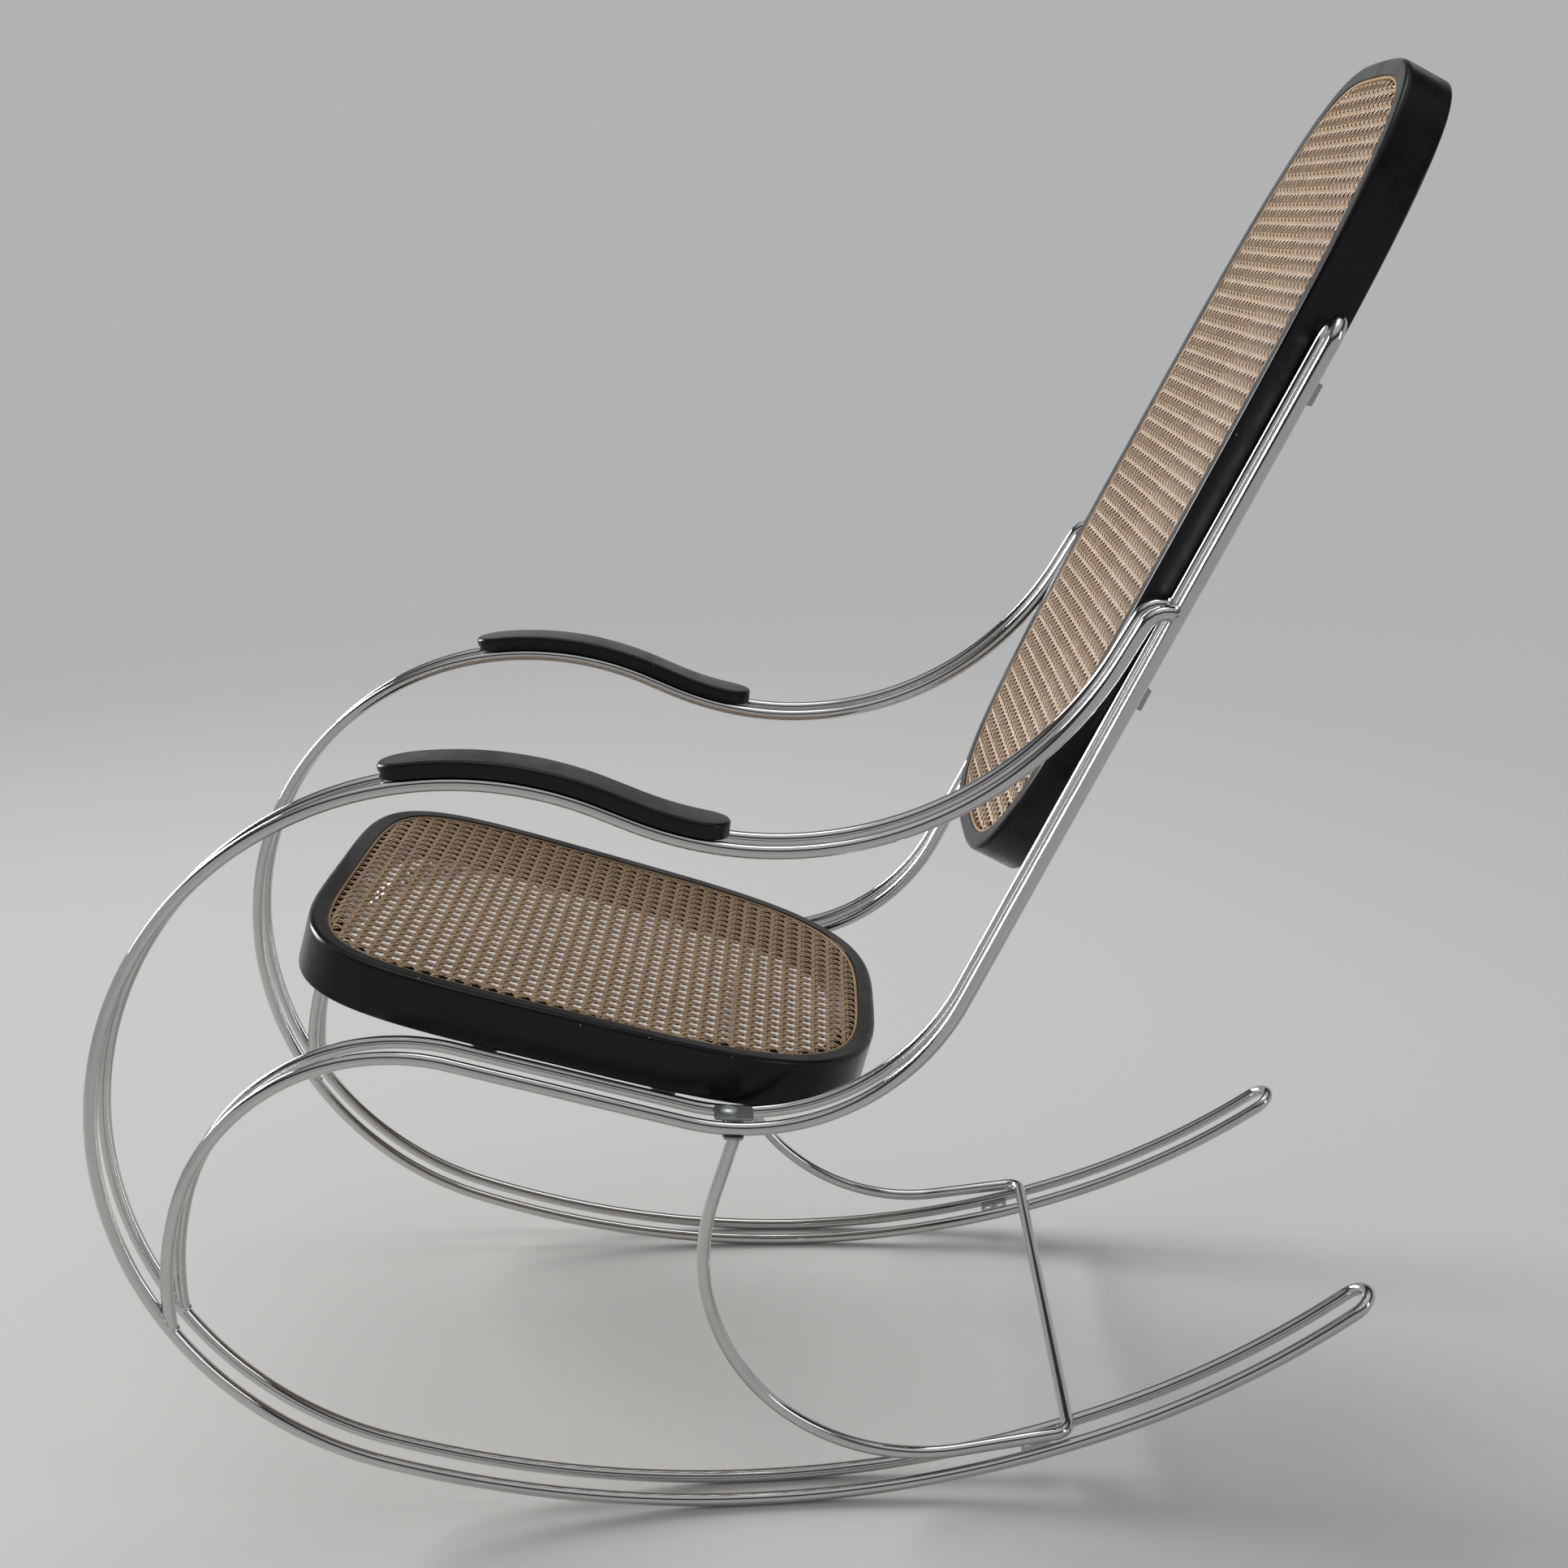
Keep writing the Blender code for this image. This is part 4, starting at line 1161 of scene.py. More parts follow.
    def screw(self, shop: Workshop, stem: str, place: np.ndarray, shank: float, grow: float = 1.0) -> None:
        """Pan-head screw with a cross recess, turned from a profile about local z, which points inward.

        The height of the head is a dome, -h (1 - fall (r / R)^power), and the recess takes away a depth that
        fades smoothly at the edges of two crossed slots, over recess_half across and recess_reach along. The
        shank carries rounded thread ridges.

        Args:
            shop: Where the piece goes.
            stem: Start of the piece's and the node's name.
            place: Placement of the underside of the head.
            shank: Length of the shank.
            grow: Scale of the head and its recess.
        """
        head, height = grow * self.head_radius, grow * self.head_height
        top = np.linspace(self.head_core, 1.0, self.head_steps) * head * self.head_top
        dome = -height * (1 - self.head_fall * (top / head) ** self.head_power)
        ridge = np.linspace(self.shank_plain[0], shank - self.shank_plain[1], self.thread_steps)
        wave = (1 - np.cos(math.tau * ridge / self.thread_pitch)) / 2
        thread = self.shank_radius - self.thread_depth * wave
        radius = np.concatenate([top, [head, head, self.shank_radius], thread, [self.shank_point]])
        level = np.concatenate([dome, [dome[-1] + self.head_edge, 0.0, 0.0], ridge, [shank]])[:, None]
        x, y = np.moveaxis(radius[:, None, None] * circle(1.0, self.turn_steps), -1, 0)
        slots = [1 - smooth(*self.recess_half, np.abs(a) / grow) for a in (x, y)]
        arms = [1 - smooth(*self.recess_reach, np.abs(a) / grow) for a in (y, x)]
        cross = np.maximum(slots[0] * arms[0], slots[1] * arms[1])
        recess = self.recess_depth * grow * cross * (level < -height / 2)
        grid = moved(place, np.stack([x, y, level + recess], axis=-1))
        name = f"{stem}_pan_screw"
        mesh = meshed(name, grid[None], sharp=self.head_sharp, polish=np.ones((1, 1, 1)))
        shop.fit(name, mesh, "zinc", f"{stem}_screw")

    def clamp(self, shop: Workshop, hand: Hand) -> None:
        """Two plates that grip the seat tubes between them, and the screw through both.

        Args:
            shop: Where the pieces go.
            hand: Side of the chair.
        """
        stem, radius = f"{hand.word}_clamp", STANCE.tube_radius
        place = STANCE.placed(hand.value, 0.0, *self.tubes.clamp_spot())
        rise = math.sqrt(radius**2 - (radius - self.clamp_bearing) ** 2) + GAP
        sagitta = self.clamp_size[1] ** 2 / (8 * self.tubes.lines.seat_dip[0])
        above = rise + sagitta
        below = -radius - GAP - self.thickness
        plates = {"strap": ("plate", above, self.clamp_size), "foot": ("base", below, self.clamp_base)}
        for part, (node, level, size) in plates.items():
            spot = place @ shift(0, 0, level) @ LENGTHWAYS
            self.plate(shop, f"{stem}_{part}", f"{stem}_{node}", spot, size[::-1], [self.clamp_screw_ahead])
        top = above + self.thickness + GAP
        spot = place @ shift(0, -self.clamp_screw_ahead, top) @ UPSIDE_DOWN
        self.screw(shop, stem, spot, top - below + self.clamp_bite, self.clamp_head)

    def rocker_plate(self, shop: Workshop, hand: Hand) -> None:
        """Perforated plate between the two rocker tubes, ahead of the crossbar.

        Args:
            shop: Where the pieces go.
            hand: Side of the chair.
        """
        point, slope = self.tubes.lines.on_rocker(self.rocker_plate_y)
        place = STANCE.placed(hand.value, 0.0, point, -math.degrees(slope))
        place = place @ shift(0, 0, -self.thickness / 2) @ LENGTHWAYS
        pitch = self.rocker_plate_length / self.rocker_holes
        holes = [(n - (self.rocker_holes - 1) / 2) * pitch for n in range(self.rocker_holes)]
        size = (self.rocker_plate_length, self.inside_width)
        name, node = f"{hand.word}_rocker_perforated_plate", f"{hand.word}_rocker_plate"
        self.plate(shop, name, node, place, size, holes, self.rocker_hole)

    def seat_lugs(self, shop: Workshop, hand: Hand) -> None:
        """Two lugs on the inner seat tube with a wood screw each, up into the seat frame.

        Args:
            shop: Where the pieces go.
            hand: Side of the chair.
        """
        middle, heading = self.tubes.seat_middle()
        offset = -(STANCE.pair_half + STANCE.tube_radius + GAP) - self.tab_size[0] / 2
        x = hand.value * (self.tab_size[0] / 2 - self.tab_screw)
        for end, station in self.tab_stations:
            stem = f"{hand.word}_{end}_seat"
            place = STANCE.placed(hand.value, offset, middle + station * ahead(heading), heading)
            place = place @ shift(0, 0, STANCE.tube_radius - self.tab_thickness)
            sheet = {"size": self.tab_size, "holes": [x], "thickness": self.tab_thickness}
            self.plate(shop, f"{stem}_lug", f"{stem}_tab", place, **sheet)
            self.screw(shop, stem, place @ shift(x, 0, -GAP), self.tab_thickness + 2 * GAP + self.tab_bite)

    def back_angles(self, shop: Workshop, hand: Hand, behind: float) -> None:
        """Two bent angles on the inner upright with a wood screw each, forward into the back frame.

        Args:
            shop: Where the pieces go.
            hand: Side of the chair.
            behind: Level of the back frame's rear face over the tube's middle.
        """
        near, half = behind - GAP, self.thickness / 2
        far = near - self.thickness
        reach, weld = -STANCE.tube_radius - self.angle_reach, -STANCE.tube_radius - GAP
        across, up = (reach, half, half, -half, -half, reach), (far, far, weld, weld, near, near)
        edge, bend = self.edge, self.angle_bend
        rounds = (edge, bend + self.thickness, edge, edge, bend, edge)
        loop, _ = filleted(list(zip(across, up, rounds)), self.angle_bend_steps, self.angle_margin)
        inset = np.array([0.0, self.edge, self.angle_width - self.edge, self.angle_width])
        y = (inset - self.angle_width / 2)[:, None]
        grid = np.stack(np.broadcast_arrays(hand.value * loop[:, 0], y, loop[:, 1]), axis=-1)
        x = -hand.value * (STANCE.tube_radius + self.angle_screw)
        for end, station in self.angle_stations:
            stem = f"{hand.word}_{end}_back"
            place = STANCE.placed(hand.value, -STANCE.pair_half, *self.tubes.on_upright(station))
            mesh = meshed(f"{stem}_angle", moved(place, grid)[None], sharp=self.angle_sharp)
            shop.fit(f"{stem}_angle", mesh, "zinc", f"{stem}_bracket")
            spot = place @ shift(x, 0, far - GAP)
            self.screw(shop, stem, spot, self.thickness + 2 * GAP + self.angle_bite)


@dataclass
class CanePanel:
    """Bentwood frame with its spline bead and its woven cane, in a flat frame of its own."""

    name: str
    place: np.ndarray
    outline: np.ndarray
    height: float
    sag: float
    rim: float = 0.013
    width: float = 0.027
    wood_rounds: tuple = (0.0016, 0.004, 0.001, 0.0002, 0.0002, 0.0003, 0.0010, 0.0042)
    wood_steps: int = 5
    wood_margin: float = 0.0001
    wood_sharp: float = 50.0
    grain_press: float = 0.1
    spline_radius: float = 0.002
    spline_clearance: float = 0.0005
    bead_half: float = 0.0013
    bead_rise: float = 0.0014
    bead_sides: int = 14
    bead_tone: float = 0.35
    groove_depth: float = 0.0038
    groove_room: tuple[float, float] = (0.0001, 0.0004)
    ledge_depth: float = 0.0030
    pitch: float = 0.0127
    pair_half: float = 0.00150
    strand_width: float = 0.00245
    slant_width: float = 0.00285
    strand_thickness: float = 0.00092
    strand_section: tuple = ((-0.5, -0.3), (-0.3, 0.42), (0.3, 0.42), (0.5, -0.3), (0.0, -0.5))
    width_range: tuple[float, float] = (0.92, 1.06)
    straight_lift: float = 0.5
    slant_lift: float = 1.02
    level_lift: float = 1.6
    end_inset: float = 0.0012
    end_tuck: float = 0.0012
    end_run: float = 0.006
    fibre_press: float = 0.06
    fibre_jump: float = 3.0
    samples: int = 6

    @staticmethod
    def rounded(half_length: float, width_at: np.ndarray, low: float, high: float) -> np.ndarray:
        """Outline whose corners follow a power curve: (w cos^(2/n), l sin^(2/n)) with n from low or high.

        Args:
            half_length: Half of the length along y.
            width_at: Half width and its slope along y.
            low: Power of the end at negative y.
            high: Power of the other end.

        Returns:
            Points (N, 2), evenly spaced, counter-clockwise.
        """
        turn = np.linspace(0.0, math.tau, DENSE_POINTS)
        cos, sin = np.cos(turn), np.sin(turn)
        power = 2 / np.where(sin < 0, low, high)
        along = half_length * np.sign(sin) * np.abs(sin) ** power
        across = (width_at[0] + width_at[1] * along) * np.sign(cos) * np.abs(cos) ** power
        dense = np.column_stack([across, along])
        length = np.append(0.0, np.cumsum(np.linalg.norm(np.diff(dense, axis=0), axis=1)))
        even = np.linspace(0.0, length[-1], OUTLINE_POINTS, endpoint=False)
        return np.column_stack([np.interp(even, length, dense[:, axis]) for axis in range(2)])

    def normals(self) -> np.ndarray:
        """Inward normals of the outline."""
        along = unit(np.roll(self.outline, -1, axis=0) - np.roll(self.outline, 1, axis=0))
        return np.column_stack([-along[:, 1], along[:, 0]])

    def ring(self, section: np.ndarray) -> tuple[np.ndarray, np.ndarray]:
        """Section carried round the outline: outline + inward * normal, at its height.

        The grain coordinates are (cos, sin) on a circle of a share of the frame's length, and the distance
        inward.

        Args:
            section: Section (K, 2) as (inward, up).

        Returns:
            Surface (1, N, K, 3) in place, and its grain coordinates.
        """
        flat = self.outline[:, None] + section[None, :, :1] * self.normals()[:, None]
        up = np.broadcast_to(section[None, :, 1:], (*flat.shape[:2], 1))
        length = np.linalg.norm(np.roll(self.outline, -1, axis=0) - self.outline, axis=1).sum()
        turn = circle(self.grain_press * length / math.tau, len(self.outline))[:, None]
        flow = np.stack(np.broadcast_arrays(turn[..., 0], turn[..., 1], section[None, :, 0]), axis=-1)
        return moved(self.place, np.concatenate([flat, up], axis=2))[None], flow[None]

    def bentwood(self, shop: Workshop) -> None:
        """Frame with rounded edges, a groove for the spline and a lower ledge under the cane.

        The section's corners run from the outer base edge inward, up to the ledge, through the groove, up the
        lip and back over the top, and wood_rounds has one rounding for each.

        Args:
            shop: Where the piece goes.
        """
        lip = self.rim + self.spline_radius + self.spline_clearance - self.bead_half - self.groove_room[0]
        groove = self.rim + 2 * (self.spline_radius + self.spline_clearance)
        ledge, floor = self.height - self.ledge_depth, self.height - self.groove_depth - self.groove_room[1]
        across = (0.0, self.width, self.width, groove, groove, lip, lip, 0.0)
        up = (0.0, 0.0, ledge, ledge, floor, floor, self.height, self.height)
        loop, edge = filleted(list(zip(across, up, self.wood_rounds)), self.wood_steps, self.wood_margin)
        grid, flow = self.ring(loop)
        marks = {"flow": flow, "depth": loop[None, None, :, 1], "arris": edge[None, None]}
        name = f"{self.name}_bentwood"
        mesh = meshed(name, grid, ring=True, sharp=self.wood_sharp, **marks)
        shop.fit(name, mesh, "black_lacquer", f"{self.name}_frame")

    def bead(self, shop: Workshop) -> None:
        """Reed spline pressed into the groove: a slightly flattened round bead.

        Args:
            shop: Where the piece goes.
        """
        inwards = self.rim + self.spline_radius + self.spline_clearance
        up = self.height - self.groove_depth + self.spline_radius - GAP
        round_bead = circle(1.0, self.bead_sides) * (self.bead_half, self.bead_rise)
        grid, flow = self.ring((inwards, up) + round_bead)
        name = f"{self.name}_bead"
        mesh = meshed(name, grid, ring=True, flow=flow, tone=np.full((1, 1, 1), self.bead_tone))
        shop.fit(name, mesh, "spline_reed", f"{self.name}_spline")

    def strands(self, course: Course) -> tuple[np.ndarray, np.ndarray]:
        """Starts of a course's strands and the sign of their waves.

        Upright and cross strands lie in pairs on the pitch. Slanting strands pass half way between crossings.

        Args:
            course: Which course.

        Returns:
            Starts (S, 2) and signs (S).
        """
        count = math.ceil(np.abs(self.outline).max(axis=0).sum() / self.pitch) + 1
        steps = np.arange(-count, count + 1) * self.pitch
        sign = 1.0 if course in (Course.UPRIGHTS, Course.RISING) else -1.0
        if course.straight:
            spots = np.concatenate([steps - self.pair_half, steps + self.pair_half])
            signs = np.repeat([sign, -sign], len(steps))
        else:
            spots = steps + self.pitch / 2
            signs = np.full(len(steps), sign)
        starts = np.column_stack([spots, np.zeros(len(spots))])
        return starts[:, ::-1] if course is Course.CROSSES else starts, signs

    def clipped(self, starts: np.ndarray, way: np.ndarray, inset: float) -> tuple[np.ndarray, np.ndarray]:
        """Where lines enter and leave the outline moved inward; it is convex, so each edge gives one bound.

        Args:
            starts: A point of each line (S, 2).
            way: Direction of the lines.
            inset: Distance inward from the outline.

        Returns:
            Distances along each line at which it enters and leaves.
        """
        corners = self.outline + inset * self.normals()
        edges = np.roll(corners, -1, axis=0) - corners
        facing = np.column_stack([-edges[:, 1], edges[:, 0]])
        rate = facing @ way
        room = (facing * corners).sum(axis=1)[None] - starts @ facing.T
        bound = room / np.where(np.abs(rate) < TINY**2, TINY**2, rate)
        enter = np.where(rate > 0, bound, -np.inf).max(axis=1)
        leave = np.where(rate < 0, bound, np.inf).min(axis=1)
        return enter, leave

    def wave(self, course: Course, spots: np.ndarray, signs: np.ndarray) -> np.ndarray:
        """Height of the strands as they pass over and under.

        A straight strand follows q exp((1 - q^2) / 2) with q the distance to the nearest crossing over half a
        pair, so it dips under one strand of the crossing pair and climbs over the other. A slanting strand
        follows a cosine of the pitch, over one set of pairs and under the other.

        Args:
            course: Which course.
            spots: Points (S, M, 2).
            signs: Sign of each strand.

        Returns:
            Heights (S, M).
        """
        if course.straight:
            run = spots[..., 1] if course is Course.UPRIGHTS else spots[..., 0]
            q = ((run + self.pitch / 2) % self.pitch - self.pitch / 2) / self.pair_half
            return self.straight_lift * self.strand_thickness * signs[:, None] * q * np.exp((1 - q * q) / 2)
        turn = math.tau * spots[..., 0] / self.pitch
        return self.slant_lift * self.strand_thickness * signs[:, None] * np.cos(turn)

    def weave(self, shop: Workshop, course: Course) -> None:
        """One course of the cane, each strand a flat-bellied ribbon carried along its waving line.

        The whole sheet hangs by the product of (1 - (distance / reach)^2) across and along, and the strands'
        ends are tucked down into the groove.

        Args:
            shop: Where the piece goes.
            course: Which course.
        """
        way = np.array(course.value)
        starts, signs = self.strands(course)
        inset = self.rim + self.spline_radius + self.spline_clearance + self.end_inset
        enter, leave = self.clipped(starts, way, inset)
        keep = leave - enter > self.pitch / 2
        starts, signs, enter, leave = starts[keep], signs[keep], enter[keep], leave[keep]
        period = self.pitch if course.straight else self.pitch / way[0]
        count = math.ceil((leave - enter).max() / period * self.samples) + 1
        run = enter[:, None] + (leave - enter)[:, None] * np.linspace(0.0, 1.0, count)
        spots = starts[:, None] + run[..., None] * way
        reach = np.abs(self.outline).max(axis=0) - inset
        hollow = np.prod(1 - np.clip(np.abs(spots) / reach, 0, 1) ** 2, axis=-1)
        ends = np.minimum(run - enter[:, None], leave[:, None] - run)
        level = self.height - self.ledge_depth + self.level_lift * self.strand_thickness
        tuck = self.end_tuck * (1 - smooth(0.0, self.end_run, ends))
        z = level + self.wave(course, spots, signs) - self.sag * hollow - tuck
        paths = np.concatenate([spots, z[..., None]], axis=2)
        left = np.array([-way[1], way[0], 0.0])
        up = np.cross(unit(np.gradient(paths, axis=1)), left)
        width = self.strand_width if course.straight else self.slant_width
        tones = shop.random.uniform(0.0, 1.0, len(starts))
        widths = width * shop.random.uniform(*self.width_range, len(starts))
        across, rise = np.array(self.strand_section).T
        grid = paths[:, :, None] + across[:, None] * widths[:, None, None, None] * left
        grid = grid + rise[:, None] * self.strand_thickness * up[:, :, None]
        along = (self.fibre_press * run + self.fibre_jump * tones[:, None])[..., None]
        flow = np.broadcast_arrays(along, across * width, tones[:, None, None])
        marks = {"flow": np.stack(flow, axis=-1), "tone": tones[:, None, None]}
        # Painted shade mark: one at a strand's side edges, zero at the middle of its belly.
        marks["flank_shade"] = np.abs(2 * across[None, None])
        name = f"{self.name}_cane_{course.name.lower()}"
        shop.fit(name, meshed(name, moved(self.place, grid), **marks), "cane", f"{self.name}_cane")

    def build(self, shop: Workshop) -> None:
        """Frame, bead and the four courses.

        Args:
            shop: Where the pieces go.
        """
        self.bentwood(shop)
        self.bead(shop)
        for course in Course:
            self.weave(shop, course)


@dataclass
class Panels:
    """The seat and the back, set out from the seat line."""

    tubes: TubeWork
    seat_length: float = 0.457
    seat_forward: float = 0.0025
    seat_inside: float = 0.0015
    seat_over: float = 0.0445
    seat_sag: float = 0.0025
    seat_powers: tuple[float, float] = (4.6, 3.4)
    back_length: float = 0.663
    back_centre: float = 0.398
    back_ahead: float = 0.0227
    back_depth: float = 0.037
    back_sag: float = 0.0015
    back_powers: tuple[float, float] = (3.4, 3.4)
    back_strand: float = 0.0021
    back_slant: float = 0.0024
    back_strand_thickness: float = 0.00085

    @property
    def behind(self) -> float:
        """Level of the back frame's rear face over the tube's middle."""
        return self.back_ahead - self.back_depth

    def width_at(self, centre: np.ndarray, heading: float, inset: float) -> np.ndarray:
        """Half width of a panel at its centre, and its slope along the panel."""
        slope = -math.tan(math.radians(STANCE.toe_angle)) * ahead(heading)[0]
        return np.array([STANCE.half(centre[0]) - inset, slope])

    def seat(self) -> CanePanel:
        """Seat panel, resting on the inner seat tubes.

        Returns:
            The panel.
        """
        middle, heading = self.tubes.seat_middle()
        centre = middle - self.seat_forward * ahead(heading)
        width = self.width_at(centre, heading, STANCE.pair_half + self.seat_inside)
        outline = CanePanel.rounded(self.seat_length / 2, width, *self.seat_powers)
        under = STANCE.tube_radius + GAP
        place = STANCE.placed(0.0, 0.0, centre, heading) @ shift(0, 0, under)
        return CanePanel("seat", place, outline, self.seat_over - under, self.seat_sag)

    def back(self) -> CanePanel:
        """Back panel, between the inner uprights, with finer strands than the seat's.

        Returns:
            The panel.
        """
        centre, heading = self.tubes.on_upright(self.back_centre)
        width = self.width_at(centre, heading, STANCE.pair_half + STANCE.tube_radius + GAP)
        outline = CanePanel.rounded(self.back_length / 2, width, *self.back_powers)
        place = STANCE.placed(0.0, 0.0, centre, heading) @ shift(0, 0, self.behind)
        strands = {"strand_width": self.back_strand, "slant_width": self.back_slant}
        strands["strand_thickness"] = self.back_strand_thickness
        return CanePanel("back", place, outline, self.back_depth, self.back_sag, **strands)


@dataclass
class ArmRest:
    """Black arm rest on the arm tubes, with two plates between the tubes and a wood screw up through each."""

    fittings: Fittings
    hand: Hand
    start: float = 0.736
    stop: float = 0.18
    width: float = 0.038
    thickness: float = 0.012
    nose: float = 0.024
    nose_power: float = 2.4
    top_round: float = 0.0026
    base_round: float = 0.0012
    worn: tuple[float, float] = (0.3, 1.2)
    worn_below: float = 0.3
    crown: float = 0.0004
    end_share: float = 0.49999
    steps: int = 161
    section_steps: int = 27
    rim_steps: int = 801
    sharp: float = 45.0
    grain_press: float = 0.1
    grain_depth: float = 0.3
    plate_length: float = 0.022
    bite: float = 0.007
    stations: Stations = (("front", 0.2), ("rear", 0.8))

    def half_width(self, along: np.ndarray, length: float) -> np.ndarray:
        """Half width in plan: full, and w (1 - e^n)^(1/n) over each nose, with e the share that is past."""
        past = np.clip((np.abs(along) - length / 2 + self.nose) / self.nose, 0.0, 1.0)
        return self.width / 2 * (1 - past**self.nose_power) ** (1 / self.nose_power)

    def section(self, along: np.ndarray, length: float) -> tuple[np.ndarray, np.ndarray, np.ndarray]:
        """Sections of the rest, over the top from side to side and back underneath.

        A face falls away near the plan's edge by r - sqrt(r^2 - (r - d)^2), with d the distance to the edge.

        Args:
            along: Stations (N) from the middle of the rest.
            length: Length of the rest.

        Returns:
            Across (N, K), up (N, K) and the edge mark (N, K).
        """
        share = bunched(self.section_steps)
        across = self.half_width(along, length)[:, None] * share
        rim = length / 2 * bunched(self.rim_steps)
        edge = self.half_width(rim, length)
        gap = np.hypot(along[:, None, None] - rim, np.abs(across)[..., None] - edge).min(axis=2)
        rounds = (self.top_round, self.base_round)
        fall = [r * (1 - np.sqrt(1 - (1 - np.clip(gap / r, 0, 1)) ** 2)) for r in rounds]
        top = self.thickness - fall[0] - self.crown * share**2
        mark = 1 - smooth(self.worn[0] * self.top_round, self.worn[1] * self.top_round, gap)
        up = np.hstack([top, fall[1][:, ::-1]])
        return np.hstack([across, across[:, ::-1]]), up, np.hstack([mark, self.worn_below * mark[:, ::-1]])

    def build(self, shop: Workshop) -> None:
        """Rest, plates and screws.

        Args:
            shop: Where the pieces go.
        """
        line, side, word = self.fittings.tubes.rocker, self.hand.value, self.hand.word
        first = line.along(RockerPiece.FRONT_UPPER, self.start)
        length = line.along(RockerPiece.ARM_DIP, self.stop) - first
        along = self.end_share * length * bunched(self.steps)
        points, headings = line.at(first + length / 2 + along)
        across, up, edge = self.section(along, length)
        middle = STANCE.strand(points - (STANCE.tube_radius + GAP) * inward(headings), side, 0.0)
        rise = np.column_stack([np.zeros(len(along)), -inward(headings)])
        grid = middle[:, None] + rise[:, None] * up[..., None]
        grid[..., 0] += across
        flow = np.stack(np.broadcast_arrays(self.grain_press * along[:, None], across, up), axis=-1)
        depth = np.full((1, 1, 1), self.grain_depth * side)
        name = f"{word}_arm_rest"
        mesh = meshed(name, grid[None], sharp=self.sharp, flow=flow[None], depth=depth, arris=edge[None])
        shop.fit(name, mesh, "black_lacquer", f"{word}_arm_pad")
        fittings = self.fittings
        below = -fittings.thickness / 2
        size = (fittings.inside_width, self.plate_length)
        for end, station in self.stations:
            stem = f"{word}_{end}_arm"
            place = STANCE.placed(side, 0.0, *line.spot(first + station * length)) @ shift(0, 0, below)
            fittings.plate(shop, f"{stem}_strap", f"{stem}_plate", place, size)
            shank = STANCE.tube_radius + GAP - below + self.bite
            fittings.screw(shop, stem, place @ shift(0, 0, -GAP), shank)


@dataclass(frozen=True)
class Lamp:
    """Soft square or upright lamp: where it hangs, its width and height, and its power in watts."""

    spot: tuple[float, float, float]
    size: tuple[float, float]
    watts: float


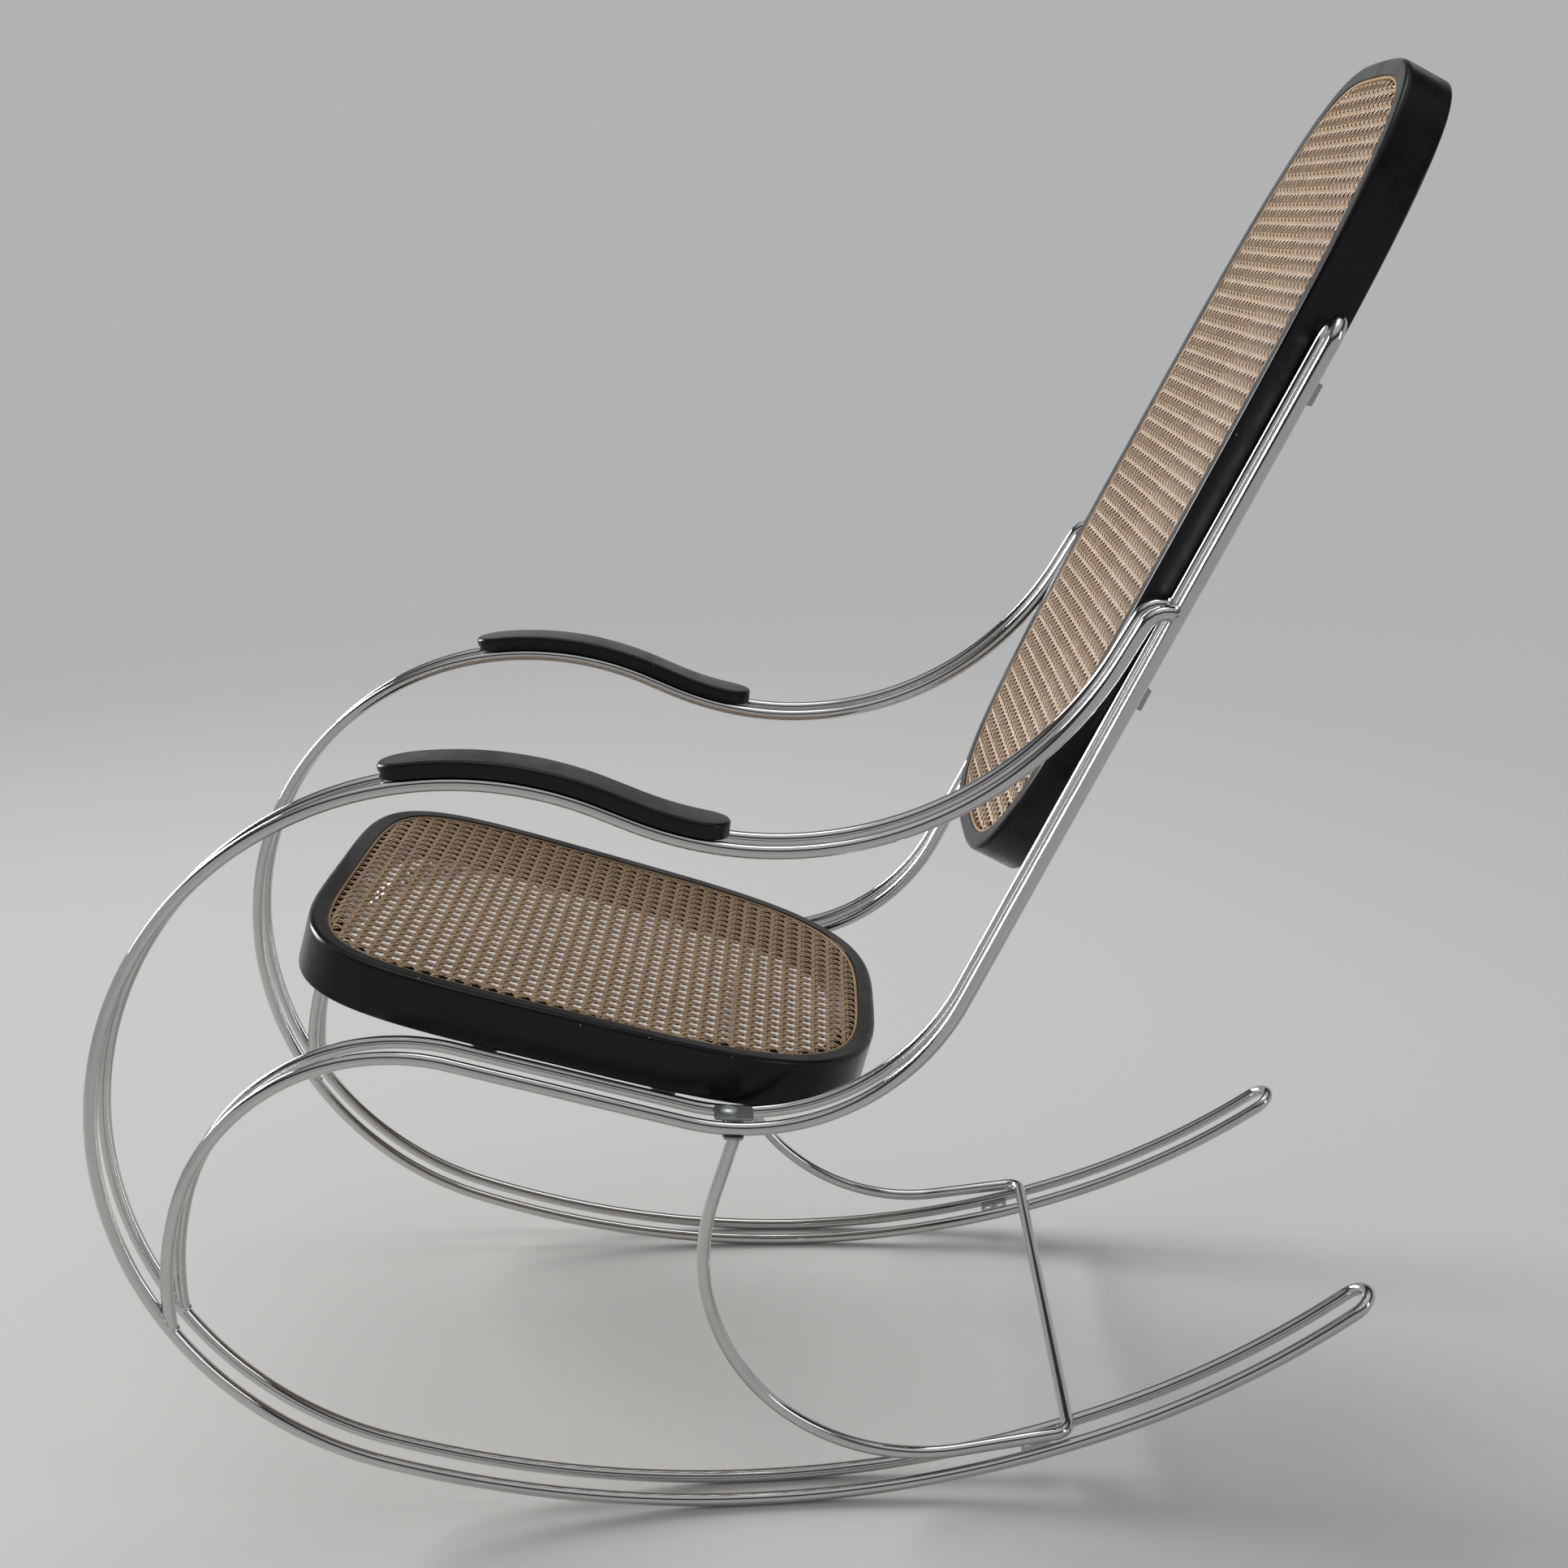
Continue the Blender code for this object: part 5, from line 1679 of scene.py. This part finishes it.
@dataclass
class Studio:
    """Pale floor, soft light and the camera."""

    frame_pixels: float = 1932.0
    focal_pixels: float = 2597.6
    sensor: float = 36.0
    eye: tuple[float, float, float] = (1.65, 0.0526, 0.956)
    right: tuple[float, float, float] = (-0.0166, 0.9991, -0.0385)
    forward: tuple[float, float, float] = (-0.9652, -0.0260, -0.2601)
    floor_radius: float = 9.0
    floor_core: float = 0.02
    floor_rings: int = 12
    floor_sides: int = 96
    floor_colour: Colour = (0.63, 0.62, 0.605, 1.0)
    floor_roughness: float = 0.75
    floor_specular: float = 0.1
    floor_fade: tuple[float, float] = (0.7, 3.6)
    backdrop: float = 0.45
    dim: float = 0.04
    dim_from: tuple[float, float] = (0.36, 0.46)
    zenith: float = 0.62
    zenith_from: tuple[float, float] = (0.62, 0.95)
    tint: Colour = (0.98, 0.99, 1.0, 1.0)
    aim: tuple[float, float, float] = (0.0, 0.0, 0.5)
    lamps: dict[str, Lamp] = field(
        default_factory=lambda: {
            "key_lamp": Lamp((-5.5, -10.0, 4.9), (5.8, 5.8), 1800.0),
            "top_lamp": Lamp((-0.6, 0.2, 3.2), (1.2, 1.2), 8.0),
            "fill_lamp": Lamp((1.5, 2.6, 1.6), (0.6, 1.4), 8.0),
        }
    )

    @staticmethod
    def hang(
        name: str, data: bpy.types.ID, right: np.ndarray, back: np.ndarray, spot: Sequence[float]
    ) -> bpy.types.Object:
        """Adds a camera or a lamp.

        Args:
            name: Name of the object.
            data: Its camera or lamp.
            right: Unit direction to its right.
            back: Unit direction away from what it faces.
            spot: Where it is.

        Returns:
            The object.
        """
        made = bpy.data.objects.new(name, data)
        axes = np.column_stack([right, np.cross(back, right), back])
        made.matrix_world = Matrix(placement(axes, spot).tolist())
        bpy.context.scene.collection.objects.link(made)
        return made

    def camera(self) -> None:
        """Camera at the picture's viewing angle."""
        data = bpy.data.cameras.new("camera")
        data.sensor_width = self.sensor
        data.lens = self.focal_pixels / self.frame_pixels * self.sensor
        look = unit(np.array(self.forward))
        right = unit(np.array(self.right) - (np.array(self.right) @ look) * look)
        bpy.context.scene.camera = self.hang("camera", data, right, -look, self.eye)

    def floor(self) -> None:
        """Round pale floor: rings of a radius that grows with the square of the ring number.

        Far out the paper fades into the backdrop's tone, so that no line shows where the two meet.
        """
        radius = self.floor_radius * np.linspace(self.floor_core, 1.0, self.floor_rings) ** 2
        flat = radius[:, None, None] * np.pad(circle(1.0, self.floor_sides), ((0, 0), (0, 1)))
        mesh = meshed("studio_floor", flat[None], caps=(True, False))
        plain = {"Base Color": self.floor_colour, "Roughness": self.floor_roughness}
        made, wiring, shader = material("floor_paper", {**plain, "Specular IOR Level": self.floor_specular})
        out = wiring.add("ShaderNodeVectorMath", {0: wiring.place()}, operation="LENGTH").outputs["Value"]
        far = wiring.spread(out, *self.floor_fade, 0.0, 1.0)
        glow = wiring.add("ShaderNodeEmission", {"Color": self.tint, "Strength": self.backdrop}).outputs[0]
        both = wiring.add("ShaderNodeMixShader", {0: far, 1: shader.outputs[0], 2: glow}).outputs[0]
        wiring.feed(made.node_tree.nodes["Material Output"], {"Surface": both})
        mesh.materials.append(made)
        floor = bpy.data.objects.new("studio_floor", mesh)
        bpy.context.scene.collection.objects.link(floor)

    def light(self) -> None:
        """Surround that is pale round the horizon, dim above it and bright overhead, and three soft lamps."""
        world = bpy.data.worlds.new("studio")
        bpy.context.scene.world = world
        world.use_nodes = True
        wiring = Wiring(world.node_tree)
        way = wiring.add("ShaderNodeTexCoord").outputs["Generated"]
        rise = wiring.add("ShaderNodeSeparateXYZ", {0: way}).outputs["Z"]
        around = wiring.spread(rise, *self.dim_from, self.backdrop, self.dim)
        overhead = wiring.spread(rise, *self.zenith_from, 0.0, self.zenith)
        strength = wiring.math("ADD", around, overhead)
        wiring.feed(world.node_tree.nodes["Background"], {"Color": self.tint, "Strength": strength})
        for name, lamp in self.lamps.items():
            data = bpy.data.lights.new(name, "AREA")
            data.shape = "RECTANGLE"
            data.size, data.size_y = lamp.size
            data.energy = lamp.watts
            back = unit(np.array(lamp.spot) - np.array(self.aim))
            self.hang(name, data, unit(np.cross((0.0, 0.0, 1.0), back)), back, lamp.spot)

    def build(self) -> None:
        """Camera, floor and light."""
        self.camera()
        self.floor()
        self.light()
        bpy.context.scene.view_settings.view_transform = "Standard"


def main() -> None:
    """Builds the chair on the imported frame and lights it."""
    logging.basicConfig(level=logging.INFO, format="%(name)s: %(message)s")
    for old in list(bpy.data.objects):
        bpy.data.objects.remove(old)
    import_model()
    shop = Workshop()
    tubes = TubeWork(ChairLines())
    fittings = Fittings(tubes)
    panels = Panels(tubes)
    for hand in Hand:
        tubes.side_frame(shop, hand)
        fittings.clamp(shop, hand)
        fittings.rocker_plate(shop, hand)
        fittings.seat_lugs(shop, hand)
        fittings.back_angles(shop, hand, panels.behind)
        ArmRest(fittings, hand).build(shop)
    tubes.rear_stretcher(shop)
    panels.seat().build(shop)
    panels.back().build(shop)
    Studio().build()
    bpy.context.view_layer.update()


if __name__ == "__main__":
    main()
